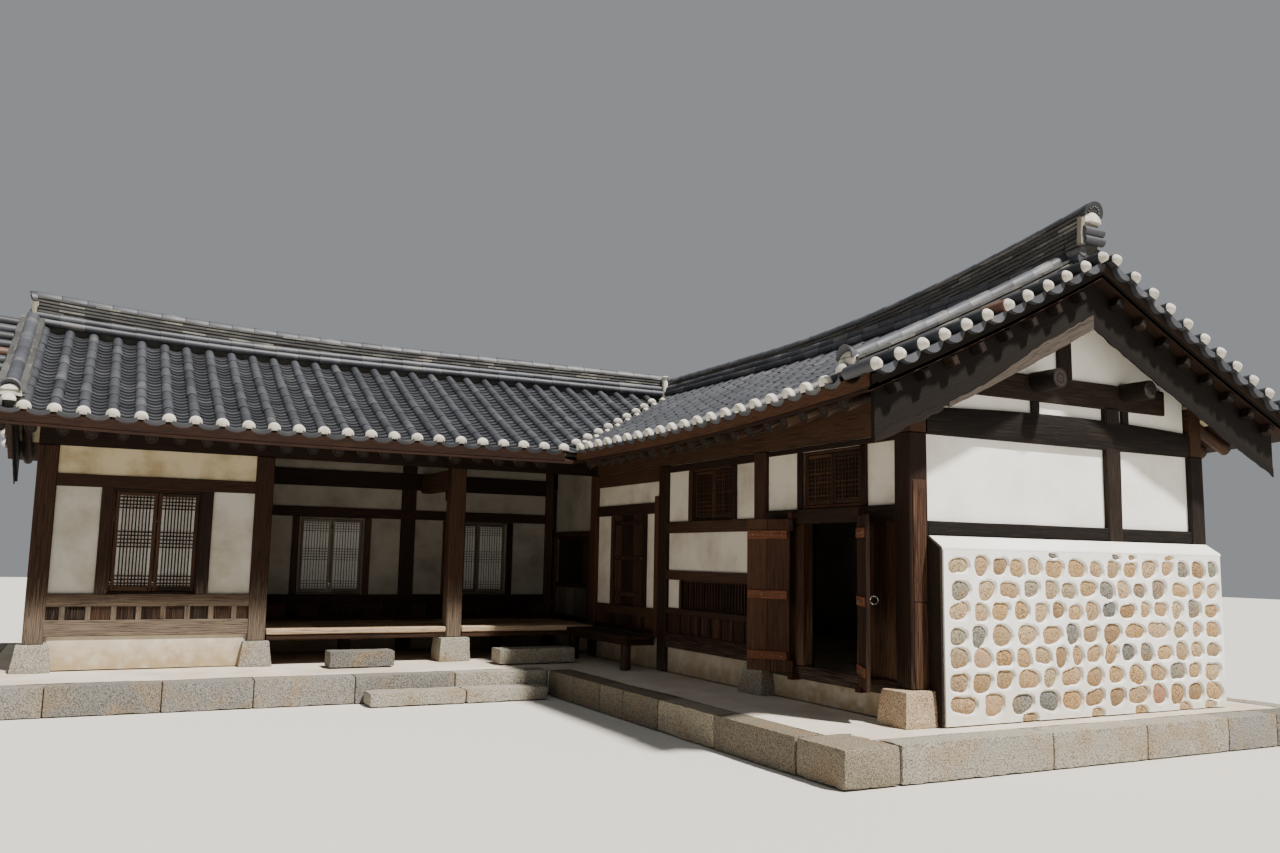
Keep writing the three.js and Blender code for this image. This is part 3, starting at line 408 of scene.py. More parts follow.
# Paler pine for the bargeboard's ragged lower edge: partly weathering, partly painted sunlight.
RAGGED_PINE = AgedPine("weathered_sunlit_bargeboard", "#1e1916", "#352e28", "#544b43",
                       "#6a6056")
SILVER_PINE = AgedPine("rain_silvered_pine", "#2a2521", "#453e37", "#655c53", "#7d746a")
LATTICE_PINE = AgedPine("brown_lattice", "#1c110b", "#301e13", "#4b3221", "#836750")
SASH_PINE = AgedPine("bleached_sash", "#38302a", "#585047", "#7b7165", "#968b7d")
LOG_END = EndGrain("weathered_end_grain")
GRANITE = HewnStone("split_granite")
# Warmer, paler granite for the court edging: partly the stone's own tan, partly painted sunlight.
SUNLIT_GRANITE = HewnStone("sunlit_tan_granite", tones=("#6f6656", "#8f8470", "#a59a84"), stain="#8f6b45",
                           stained=0.5)
TAN_GRANITE = HewnStone("iron_stained_granite", tones=("#7d6c58", "#9c8668", "#b5a084"), stain="#96694a",
                        stained=0.6, pit_mm=55)
FIELD_STONE = HewnStone("field_stone", stain="#a2743f", stained=0.55, by_stone=0.95, fleck=0.75, tones=(
    "#5d6164", "#8d8672", "#b39a72", "#8b6d4c", "#bf9d6c", "#a98a68", "#c4ac86", "#97553f"))
PAPER = MulberryPaper("mulberry_paper")
IRON = ForgedIron("forged_iron")


# Mesh building

class PieceMesh:
    """Gathers the shells of one piece, with finish, grain direction, tone and wear, and builds it."""

    def __init__(self, seed: int) -> None:
        """Start an empty piece whose chances come from a seed.

        Args:
            seed: The seed of its chances.
        """
        self.chance = random.Random(seed)
        self.points: list[Array] = []
        self.faces: list[list[int]] = []
        self.finish_of: list[int] = []
        self.corners: list[Array] = []
        self.tones: list[Array] = []
        self.wears: list[Array] = []
        self.finishes: list[Finish] = []
        self.count = 0

    def jitter(self, size: float) -> float:
        """Return a chance amount between minus and plus a size."""
        return self.chance.uniform(-size, size)

    def number_of(self, finish: Finish) -> int:
        """Return the finish's slot number on this piece.

        Args:
            finish: Its finish.

        Returns:
            The number.
        """
        if finish not in self.finishes:
            self.finishes.append(finish)
        return self.finishes.index(finish)

    def loft(self, rings: Sequence, finish: Finish, *, closed: bool = True, caps: bool = True,
             cap_finish: Finish | None = None, tone: float | Sequence | None = None, wear: Wear = 0.0,
             up: Numbers = (0, 0, 1)) -> None:
        """Join rings of points into a skin.

        Args:
            rings: Rings of equally many points, one after the other along the piece.
            finish: The skin's finish.
            closed: Whether each ring closes on itself.
            caps: Whether a closed skin's first and last ring are filled.
            cap_finish: The finish of those ends, where it differs.
            tone: One tone for the part or one for each ring; a chance tone if left out.
            wear: Bleaching from 0 to 1, or a function that gives it for points.
            up: The side that an open skin faces.
        """
        rings = np.asarray(rings, float)
        rows, wide = rings.shape[:2]
        points = rings.reshape(-1, 3)
        if tone is None:
            tone = self.chance.random()
        tones = np.repeat(np.broadcast_to(np.asarray(tone, float), rows), wide)
        shift = self.chance.random() * 20
        middle = rings.mean(1)
        u = shift + np.r_[0, np.cumsum(norm(np.diff(middle, axis=0), axis=1))]
        hoop = rings[rows // 2]
        hoop = np.vstack([hoop, hoop[:1]]) if closed else hoop
        v = shift + np.r_[0, np.cumsum(norm(np.diff(hoop, axis=0), axis=1))]
        i, k = np.meshgrid(np.arange(rows - 1), np.arange(len(v) - 1), indexing="ij")
        i, k, after = i.ravel(), k.ravel(), ((k + 1) % wide).ravel()
        quads = np.stack([i * wide + k, i * wide + after, (i + 1) * wide + after, (i + 1) * wide + k], 1)
        corner = np.stack([np.stack([u[i], v[k]], 1), np.stack([u[i], v[k + 1]], 1),
                           np.stack([u[i + 1], v[k + 1]], 1), np.stack([u[i + 1], v[k]], 1)], 1)
        a, b, c, d = (points[quads[:, j]] for j in range(4))
        if closed:
            inside = middle[rows // 2]
            facing = (np.einsum("ij,ij->i", a - inside, np.cross(b - inside, c - inside))
                      + np.einsum("ij,ij->i", a - inside, np.cross(c - inside, d - inside))).sum()
        else:
            facing = float(np.cross(c - a, d - b).sum(0) @ np.asarray(up, float))
        flip = facing < 0
        if flip:
            quads, corner = quads[:, ::-1], corner[:, ::-1]
        slot = self.number_of(finish)
        self.faces += (quads + self.count).tolist()
        self.finish_of += [slot] * len(quads)
        self.corners.append(corner.reshape(-1, 2))
        if closed and caps:
            cap_slot = self.number_of(cap_finish or finish)
            for row, backwards in ((0, True), (rows - 1, False)):
                order = np.arange(wide)[::-1] if backwards != flip else np.arange(wide)
                face = rings[row][order] - middle[row]
                side = face[0] / (norm(face[0]) + 1e-9)
                other = np.cross(np.cross(face[0], face[wide // 3]), side)
                other /= norm(other) + 1e-9
                self.faces.append((order + row * wide + self.count).tolist())
                self.finish_of.append(cap_slot)
                self.corners.append(np.stack([face @ side, face @ other], 1))
        self.points.append(points)
        self.tones.append(tones)
        self.wears.append(wear(points) if callable(wear) else np.full(len(points), float(wear)))
        self.count += len(points)

    def timber(self, low: Numbers, high: Numbers, finish: Finish, *, grain: int | None = None,
               bevel: float = 0.006, wobble: float = 0.0025, wear: Wear = 0.0,
               tone: float | None = None) -> None:
        """Add a squared timber with eased edges that is a little out of true.

        Args:
            low: Its lowest corner.
            high: Its highest corner.
            finish: The wood.
            grain: The axis that the grain follows; the longest, if left out.
            bevel: The width of the eased edges.
            wobble: How far its faces wander inwards.
            wear: Bleaching.
            tone: The part's tone.
        """
        low, high = np.array(low, float), np.array(high, float)
        size, middle = high - low, (low + high) / 2
        axis = int(np.argmax(size)) if grain is None else grain
        p, q = [a for a in range(3) if a != axis]
        b = min(bevel, *(size * 0.3))
        inner = np.linspace(b, size[axis] - b, 2 + int(size[axis] / 0.8))
        rings = []
        for place, inset in [(0.0, b), *((s, 0.0) for s in inner), (size[axis], b)]:
            hp, hq = (size[a] / 2 - inset - self.chance.random() * min(wobble, size[a] * 0.1)
                      for a in (p, q))
            ring = np.zeros((8, 3))
            ring[:, axis] = low[axis] + place
            ring[:, p] = middle[p] + np.array([hp - b, hp, hp, hp - b, b - hp, -hp, -hp, b - hp])
            ring[:, q] = middle[q] + np.array([-hq, b - hq, hq - b, hq, hq, hq - b, b - hq, -hq])
            rings.append(ring)
        self.loft(rings, finish, tone=tone, wear=wear)

    def bar(self, low: Numbers, high: Numbers, finish: Finish) -> None:
        """Add a thin square bar, too small for eased edges to show.

        Args:
            low: Its lowest corner.
            high: Its highest corner.
            finish: Its finish.
        """
        low, high = np.asarray(low, float), np.asarray(high, float)
        axis = int(np.argmax(high - low))
        p, q = [a for a in range(3) if a != axis]
        ends = []
        for place in (low[axis], high[axis]):
            ring = np.full((4, 3), place)
            ring[:, p] = [low[p], high[p], high[p], low[p]]
            ring[:, q] = [low[q], low[q], high[q], high[q]]
            ends.append(ring)
        self.loft(ends, finish)

    def log(self, path: Sequence, radii: Numbers, finish: Finish, *, sides: int = 12,
            wobble: float = 0.0, wear: Wear = 0.0, cap_finish: Finish | None = None,
            tone: float | None = None) -> None:
        """Add a round log or roll along a path of points with a radius at each.

        Args:
            path: The points that its middle follows.
            radii: Its radius at each point.
            finish: The wood, clay or iron.
            sides: The points round it.
            wobble: How far it is out of round.
            wear: Bleaching.
            cap_finish: The finish of its ends.
            tone: The part's tone.
        """
        path = np.asarray(path, float)
        along = path[-1] - path[0]
        along /= norm(along)
        side = np.cross(along, (0, 0, 1) if abs(along[2]) < 0.9 else (1, 0, 0))
        side /= norm(side)
        over = np.cross(side, along)
        angle = np.arange(sides) * 2 * np.pi / sides
        lumps = 1 + np.array([self.jitter(wobble) for _ in angle])
        across, upward = np.outer(np.cos(angle) * lumps, side), np.outer(np.sin(angle) * lumps, over)
        rings = [centre + radius * (across + upward) for centre, radius in zip(path, radii)]
        self.loft(rings, finish, wear=wear, cap_finish=cap_finish, tone=tone)

    def stone(self, low: Numbers, high: Numbers, finish: Finish, *, axis: int | None = None,
              taper: float = 1.0, rough: float = 0.006, ease: float = 0.03, grid: float = 0.09) -> None:
        """Add a hewn block with rounded arrises and an uneven face.

        Args:
            low: Its lowest corner.
            high: Its highest corner.
            finish: The stone.
            axis: The axis that its rings follow; the longest, if left out.
            taper: Its width at the far end of that axis, as a share of the near end.
            rough: How far the face is sunk by chance.
            ease: The radius of the arrises.
            grid: The spacing of the mesh.
        """
        low, high = np.asarray(low, float), np.asarray(high, float)
        size = high - low
        axis = int(np.argmax(size)) if axis is None else axis
        p, q = [a for a in range(3) if a != axis]
        ease = min(ease, size.min() * 0.4)
        inner = np.linspace(ease, size[axis] - ease, 1 + max(1, int(size[axis] / grid)))
        ps, qs = (np.arange(count) * 2 / count - 1
                  for count in (max(2, int(size[a] / grid)) for a in (p, q)))
        outline = np.array([*((s, -1.0) for s in ps), *((1.0, s) for s in qs),
                            *((-s, 1.0) for s in ps), *((-1.0, -s) for s in qs)])
        middle = (low + high) / 2
        seed = Vector((self.chance.random() * 50, 0, 0))
        rings = []
        stops = [(0.0, ease), (ease * 0.3, ease * 0.28), *((s, 0.0) for s in inner),
                 (size[axis] - ease * 0.3, ease * 0.28), (size[axis], ease)]
        for place, inset in stops:
            scale = 1 + (taper - 1) * place / size[axis]
            half = np.array([size[p], size[q]]) / 2 * scale - inset
            flat = outline * half
            core = np.clip(flat, -(half - ease), half - ease)
            out = flat - core
            reach = norm(out, axis=1, keepdims=True)
            flat = core + np.where(reach > 1e-9, out / np.maximum(reach, 1e-9) * ease, 0)
            ring = np.zeros((len(outline), 3))
            ring[:, axis] = low[axis] + place
            ring[:, p], ring[:, q] = middle[p] + flat[:, 0], middle[q] + flat[:, 1]
            for point in ring:
                depth = (noise.noise(Vector(point) * 9 + seed) + 1) * rough
                point[p] -= math.copysign(depth, point[p] - middle[p])
                point[q] -= math.copysign(depth, point[q] - middle[q])
            rings.append(ring)
        self.loft(rings, finish)

    def build(self, name: str, slot: str, *nodes: str, body: str = "house") -> bpy.types.Object:
        """Make the object, let it ride on its body and stand for its nodes.

        Args:
            name: The piece's name.
            slot: The record's material slot; not used.
            nodes: The frame's nodes that it stands for.
            body: The body that carries it.

        Returns:
            The new object.
        """
        mesh = bpy.data.meshes.new(name)
        mesh.from_pydata(np.vstack(self.points), [], self.faces)
        mesh.uv_layers.new(name="grain").data.foreach_set("uv", np.vstack(self.corners).ravel())
        for label, values in (("tone", self.tones), ("wear", self.wears)):
            mesh.attributes.new(label, "FLOAT", "POINT").data.foreach_set("value", np.concatenate(values))
        for finish in self.finishes:
            mesh.materials.append(finish.material())
        mesh.polygons.foreach_set("material_index", self.finish_of)
        mesh.polygons.foreach_set("use_smooth", [True] * len(self.faces))
        mesh.set_sharp_from_angle(angle=math.radians(36))
        mesh.update()
        made = bpy.data.objects.new(name, mesh)
        bpy.context.scene.collection.objects.link(made)
        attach(made, body)
        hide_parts(*nodes)
        log.info("%s: %d faces", name, len(self.faces))
        return made


# Where walls stand

class Facing(Enum):
    """The way a wall faces: the axis of its depth, and which way depth grows."""

    FRONT = (1, 1)
    COURT = (0, 1)
    BACK = (1, -1)
    RIGHT = (0, -1)


@dataclass(frozen=True)
class Wall:
    """A wall plane: places are given along it, up it and into it from its face."""

    facing: Facing
    face: float

    def corner(self, along: float, z: float, depth: float) -> Three:
        """Return the point at a place on the wall.

        Args:
            along: Its place along the wall.
            z: Its height.
            depth: Its depth behind the face.

        Returns:
            The point.
        """
        axis, way = self.facing.value
        deep = self.face + way * depth
        return (along, deep, z) if axis == 1 else (deep, along, z)

    def box(self, along: Numbers, high: Numbers,
            deep: Numbers) -> tuple[Array, Array]:
        """Return the lowest and highest corner of a box on the wall."""
        ends = np.array([self.corner(along[i], high[i], deep[i]) for i in (0, 1)])
        return ends.min(0), ends.max(0)

    def panel(self, along: Numbers, high: Numbers, deep: Numbers, count: int) -> list:
        """Return the rings of a flat panel, each a section across the wall.

        Args:
            along: Its ends along the wall.
            high: Its heights.
            deep: Its depths.
            count: The number of sections.

        Returns:
            The sections.
        """
        low, top = self.box(along, high, deep)
        axis = self.facing.value[0]
        section = ((low[axis], low[2]), (top[axis], low[2]), (top[axis], top[2]), (low[axis], top[2]))
        return [[(place, at, z) if axis == 1 else (at, place, z) for at, z in section]
                for place in np.linspace(low[1 - axis], top[1 - axis], count)]

    def timbers(self, mesh: PieceMesh, finish: Finish, rows: Sequence, **how: object) -> None:
        """Add a timber for each row of ends along the wall, heights and depths."""
        for row in rows:
            mesh.timber(*self.box(*row), finish, **how)


# Roof form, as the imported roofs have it

HALF_TURN = np.linspace(0, np.pi, 9)
RIDGE_X, RIDGE_Y = 2.27, 1.80
LEFT_RUN, RIGHT_RUN = 3.05, 3.27
EAVE_Z, ROOF_RISE, ROOF_SAG = 3.45, 1.47, 0.1
LEFT_VERGE, FRONT_VERGE = -8.65, -8.0
LEFT_FALL_X, RIGHT_FALL_Y = -8.15, -7.50
RIDGE_END_Y = -7.78
BOARD_DROP, BOARD_THICK = 0.1703, 0.04
RAFTER_DROP, RAFTER_RADIUS, RAFTER_PITCH = 0.2683, 0.07, 0.325


def lift(distance: Array, start: float, length: float, most: float) -> Array:
    """Return how far a line has swept up, past its start."""
    return most * np.maximum(0.0, (distance - start) / length) ** 2


def sweep(share: Array) -> Array:
    """Return the height of a slope at a share of its run."""
    return share * (1 - ROOF_SAG) + share * share * ROOF_SAG


def left_roof(x: Array, y: Array) -> Array:
    """Return the left wing's roof height.

    Args:
        x: Places along the wing.
        y: Places across the wing.

    Returns:
        The heights.
    """
    eave = EAVE_Z + lift(-x, 4.0, 4.65, 0.08)
    ridge = EAVE_Z + ROOF_RISE + lift(-x, 3.5, 5.15, 0.20)
    return eave + (ridge - eave) * sweep(1 - np.abs(y - RIDGE_Y) / LEFT_RUN)


def right_roof(x: Array, y: Array) -> Array:
    """Return the right wing's roof height.

    Args:
        x: Places across the wing.
        y: Places along the wing.

    Returns:
        The heights.
    """
    eave = EAVE_Z + lift(-y, 3.0, 5.0, 0.20)
    ridge = EAVE_Z + ROOF_RISE + lift(-y, 1.5, 6.5, 0.28)
    return eave + (ridge - eave) * sweep(1 - np.abs(x - RIDGE_X) / RIGHT_RUN)


def seam_x(y: float) -> float:
    """Return where the two wings' roofs meet, valley in front and hip behind."""
    return RIDGE_X + (y - RIDGE_Y) * RIGHT_RUN / LEFT_RUN


def seam_y(x: float) -> float:
    """Return the same meeting line, from X."""
    return RIDGE_Y + (x - RIDGE_X) * LEFT_RUN / RIGHT_RUN


@dataclass(frozen=True)
class Slope:
    """One side of a roof: columns of tiles stand along it and climb from eave to ridge."""

    name: str
    axis: int
    eave: float
    ridge: float
    height: Callable[[Array, Array], Array]
    first: float
    pitch: float
    ends: Two
    valley: bool

    @property
    def rise(self) -> float:
        """Return the direction from eave to ridge, as 1 or -1."""
        return math.copysign(1.0, self.ridge - self.eave)

    def meeting(self, along: float) -> float:
        """Return how far up the slope the other wing's roof meets it."""
        return seam_y(along) if self.axis == 0 else seam_x(along)

    def meets_at(self, up: float) -> float:
        """Return where along the slope the other wing's roof meets it."""
        return seam_x(up) if self.axis == 0 else seam_y(up)

    def point(self, along: float, up: float, z: float) -> Three:
        """Return the point at a place of the slope and a height."""
        return (along, up, z) if self.axis == 0 else (up, along, z)

    def ring(self, *corners: Numbers) -> Array:
        """Return points given as (along, up, height over the roof).

        Args:
            corners: Places along and up the slope, with heights over it.

        Returns:
            The ring's points.
        """
        along, up, over = np.array(corners, float).T
        points = self.surface(along, up)
        points[:, 2] += over
        return points

    def over(self, along: Array, up: Array, high: Array) -> Array:
        """Return points at heights square to the roof."""
        base, _, _, out = self.frame(along, up)
        return base + out * high[:, None]

    def hoop(self, along: float, up: float, radius: float, turn: Array = HALF_TURN, *,
             high: float = 0.0, flat: float = 1.0, endwise: bool = False) -> Array:
        """Return a round outline that stands on the roof.

        Args:
            along: Its place along the slope.
            up: Its place up the slope.
            radius: Its radius.
            turn: The angles of its points.
            high: Its middle's height over the roof.
            flat: Its height, as a share of its width.
            endwise: Whether it faces out of the gable.

        Returns:
            The points.
        """
        base, side, climb, out = self.frame(along, up)
        return (base + np.outer(np.cos(turn) * radius, climb if endwise else side)
                + np.outer(high + np.sin(turn) * radius * flat, out))

    def surface(self, along: Array, up: Array) -> Array:
        """Return points of the roof."""
        x, y = np.broadcast_arrays(*((along, up) if self.axis == 0 else (up, along)))
        return np.stack([x, y, self.height(x, y)], -1)

    def frame(self, along: Array, up: Array) -> tuple[Array, ...]:
        """Return points of the roof, and the unit vectors along it, up it and out of it.

        Args:
            along: Its place along the slope.
            up: Its place up the slope.

        Returns:
            The points, and the directions along, up and out at each.
        """
        along, up = np.asarray(along, float), np.asarray(up, float)
        base = self.surface(along, up)
        side = self.surface(along + 0.01, up) - base
        climb = self.surface(along, up + 0.01 * self.rise) - base
        side /= norm(side, axis=-1, keepdims=True)
        climb /= norm(climb, axis=-1, keepdims=True)
        out = np.cross(side, climb)
        out *= np.sign(out[..., 2:3])
        return base, side, climb, out

    def columns(self) -> list[Three]:
        """Return each column of round tiles: where it stands, starts and stops.

        Returns:
            The places.

        Returns:
            The places.
        """
        found = []
        for step in range(60):
            along = self.first + step * self.pitch
            if along > self.ends[1]:
                break
            start, stop = self.eave, self.ridge - self.rise * 0.15
            meeting = self.meeting(along)
            if self.valley and (meeting - self.eave) * self.rise > 0:
                start = meeting + self.rise * 0.06
            if not self.valley and along > self.corner():
                stop = meeting - self.rise * 0.10
            if (stop - start) * self.rise > 0.12:
                found.append((along, start, stop))
        return found

    def corner(self) -> float:
        """Return where the ridge meets the other wing's, along this slope."""
        return RIDGE_X if self.axis == 0 else RIDGE_Y


FRONT_SLOPE = Slope("left_front", 0, -1.25, RIDGE_Y, left_roof, -7.99, 0.3133, (-8.0, 2.1), True)
BACK_SLOPE = Slope("left_back", 0, 4.85, RIDGE_Y, left_roof, -7.99, 0.3133, (-8.0, 5.4), False)
COURT_SLOPE = Slope("right_court", 1, -1.0, RIDGE_X, right_roof, -7.236, 0.3063, (-7.3, 1.7), True)
RIGHT_SLOPE = Slope("right_side", 1, 5.54, RIDGE_X, right_roof, -7.236, 0.3063, (-7.3, 4.7), False)


@dataclass
class RoofTiles:
    """The field of one slope: round tiles over stacked trough tiles, with lime in the round ends."""

    slope: Slope
    node: str
    round_radius: float = 0.074
    round_exposed: float = 0.30
    step: float = 0.112
    lip: float = 0.024
    trough: float = 0.052
    plug_radius: float = 0.077
    inset: float = 0.062

    def build(self, seed: int) -> None:
        """Build the slope's tiles as one piece.

        Args:
            seed: The seed of its chances.
        """
        mesh = PieceMesh(seed)
        columns = self.slope.columns()
        for column in columns:
            self.add_round(mesh, *column)
        along, start, stop = columns[0]
        self.add_trough(mesh, along - self.slope.pitch / 2, start, stop)
        later, sooner = (max, min) if self.slope.rise > 0 else (min, max)
        for (a0, s0, e0), (a1, s1, e1) in zip(columns, columns[1:]):
            self.add_trough(mesh, (a0 + a1) / 2, later(s0, s1), sooner(e0, e1))
        mesh.build(f"tiles_{self.slope.name}", "roof_tile", self.node)

    def add_round(self, mesh: PieceMesh, along: float, start: float, stop: float) -> None:
        """Lay one column of round tiles, each lapping the one below, and plug the lowest with lime.

        Args:
            mesh: The piece that it joins.
            along: Its place along the slope.
            start: Where it starts.
            stop: Where it stops.
        """
        rise, hoop = self.slope.rise, self.slope.hoop
        start += rise * self.inset
        places = np.linspace(start, stop, max(1, round(abs(stop - start) / self.round_exposed)) + 1)
        lean = mesh.jitter(0.006)
        for low, high in zip(places, places[1:]):
            size = self.round_radius + mesh.jitter(0.002)
            shift = along + lean + mesh.jitter(0.004)
            shade = mesh.chance.random()
            # Each tile's tone starts dark at its lower lap: painted shade.
            mesh.loft([hoop(shift, up, radius, high=-0.008) for up, radius in (
                (low, size - 0.004), (low + rise * 0.012, size), (high, size - 0.008))],
                ROOF_CLAY, tone=(-1.0, shade, shade))
        plug = ((0.036, 1.02), (0.0, 1.08), (-0.016, 1.0), (-0.028, 0.72), (-0.033, 0.30))
        turn = np.linspace(-0.25, np.pi + 0.25, 11)
        mesh.loft([hoop(along + lean, start + rise * place, self.plug_radius * share, turn, high=0.004,
                        flat=0.95) for place, share in plug], PLUG_LIME)

    def add_trough(self, mesh: PieceMesh, along: float, start: float, stop: float) -> None:
        """Stack trough tiles up the slope: each lower edge shows as a curved lip, painted pale as a painted
        highlight, and each tile is painted darker up to where the next one laps it, as painted shade.

        Args:
            mesh: The piece that it joins.
            along: Its place along the slope.
            start: Where it starts.
            stop: Where it stops.
        """
        rise = self.slope.rise
        start += rise * (self.inset - 0.03)
        across = np.linspace(-1, 1, 7)
        depth = -self.trough * (1 - across ** 2) + 0.004
        places = start + rise * np.arange(max(1, int(abs(stop - start) / self.step)) + 1) * self.step
        # Tones run pale at each lip and dark under the next tile's lap: painted highlight and painted shade.
        lines = [(start + rise * 0.09, -0.042, 0.2), (start, -0.034, 0.9)]
        for low, high in zip(places, places[1:]):
            shade = mesh.chance.random()
            lines += [(low, self.lip + mesh.jitter(0.003), shade + 0.4),
                      (high - rise * 0.002, 0.004, shade - 1.3)]
        lines.append((stop + rise * 0.10, 0.010, 0.1))
        across = along + across * (self.slope.pitch / 2 - 0.03)
        mesh.loft([self.slope.over(across, place, depth + raised) for place, raised, _ in lines],
                  ROOF_CLAY, closed=False, tone=[shade for _, _, shade in lines])


@dataclass
class Eaves:
    """What carries a slope's edge: the scalloped board, the flat board, soffit, plate and rafters."""

    slope: Slope
    plate: float
    plate_ends: Two
    rafters: tuple[float, int]
    boards_from: float
    clay_from: float
    boards_reach: float = 0.62
    rafter_inset: float = 0.15
    rafter_share: float = 0.62

    def add_to(self, mesh: PieceMesh) -> None:
        """Add this slope's timbers to its wing's piece.

        Args:
            mesh: The piece that it joins.
        """
        self.add_scallop(mesh)
        self.add_soffit(mesh)
        self.add_plate(mesh)
        self.add_rafters(mesh)

    def add_scallop(self, mesh: PieceMesh) -> None:
        """Cut the board under the trough tiles to their curves, over a flat lath.

        Args:
            mesh: The piece that it joins.
        """
        slope = self.slope
        along = np.arange(self.boards_from, slope.meets_at(slope.eave) - 0.04, slope.pitch / 8)
        crest = -0.082 + 0.060 * np.cos(np.pi * (along - slope.first) / slope.pitch) ** 4
        board = [((0.055, -0.165), (0.048, top), (0.10, top + 0.012), (0.12, -0.155)) for top in crest]
        lath = [((0.085, -0.205), (0.080, -0.166), (0.20, -0.150), (0.20, -0.195))] * len(along[::8])
        for places, outlines in ((along, board), (along[::8], lath)):
            mesh.loft([slope.ring(*((place, slope.eave + slope.rise * inwards, high)
                                    for inwards, high in outline))
                       for place, outline in zip(places, outlines)], RED_PINE)

    def add_soffit(self, mesh: PieceMesh) -> None:
        """Lay the boards over the rafters' tails and clay between them further in.

        Args:
            mesh: The piece that it joins.
        """
        slope = self.slope
        edge, change = (slope.eave + slope.rise * inwards for inwards in (0.06, self.boards_reach))
        for low, high, first, finish in ((edge, change, self.boards_from, RED_PINE),
                                         (change, slope.ridge, self.boards_from, PINE),
                                         (change, slope.ridge, self.clay_from, CREAM_LIME)):
            rings = []
            for up in np.linspace(low, high, 5):
                last = self.clay_from if finish is PINE else slope.meets_at(up)
                top = slope.surface(np.linspace(first, last, 16), up) - (0, 0, BOARD_DROP)
                rings.append(np.vstack([top, (top - (0, 0, BOARD_THICK))[::-1]]))
            mesh.loft(rings, finish)

    def add_plate(self, mesh: PieceMesh) -> None:
        """Lay the wall plate, whose top follows the rafters.

        Args:
            mesh: The piece that it joins.
        """
        rings = []
        for place in np.linspace(*self.plate_ends, 7):
            top = self.slope.surface(place, self.plate)[2] - RAFTER_DROP - RAFTER_RADIUS + 0.02
            rings.append([self.slope.point(place, self.plate + side, z)
                          for side, z in ((-0.1, 3.22), (0.1, 3.22), (0.1, top), (-0.1, top))])
        mesh.loft(rings, PINE)

    def add_rafters(self, mesh: PieceMesh) -> None:
        """Lay round rafters with weathered sawn ends.

        Args:
            mesh: The piece that they join.
        """
        slope = self.slope
        first, count = self.rafters
        outer = slope.eave + slope.rise * self.rafter_inset
        inner = slope.eave + (slope.ridge - slope.eave) * self.rafter_share
        for step in range(count):
            along = first + step * RAFTER_PITCH + mesh.jitter(0.012)
            path = slope.surface(along, np.linspace(outer + mesh.jitter(0.02), inner, 4))
            path -= (0, 0, RAFTER_DROP)
            path[1:3, 2] += mesh.jitter(0.006)
            radius = RAFTER_RADIUS + mesh.jitter(0.005)
            mesh.log(path, np.linspace(radius, radius * 0.97, 4), PINE, sides=14, wobble=0.03,
                     cap_finish=LOG_END, wear=lambda p: 0.5 * (np.abs(p[:, 1 - slope.axis] - outer) < 0.25))


@dataclass(frozen=True)
class RidgeLine:
    """The path of a ridge: points on the roof, the ridge's top above each, and its sideways direction."""

    foot: Array
    top: Array
    side: Array

    @property
    def places(self) -> Array:
        """Return the distance of each point from the start."""
        return np.r_[0, np.cumsum(norm(np.diff(self.foot, axis=0), axis=1))]

    def at(self, place: float) -> tuple[Array, float, Array]:
        """Return the foot, the top and the sideways direction at a distance along the path.

        Args:
            place: The distance.

        Returns:
            The foot, the top's height and the side.
        """
        foot, side = (np.array([np.interp(place, self.places, way[:, i]) for i in range(3)])
                      for way in (self.foot, self.side))
        return foot, float(np.interp(place, self.places, self.top)), side / norm(side)

    def ring(self, place: float, corners: Sequence[Two]) -> list:
        """Return points given as (sideways, height) at a distance along the path."""
        foot, _, side = self.at(place)
        return [(*(foot + side * reach)[:2], z) for reach, z in corners]


ROLL_PITCH = 0.088


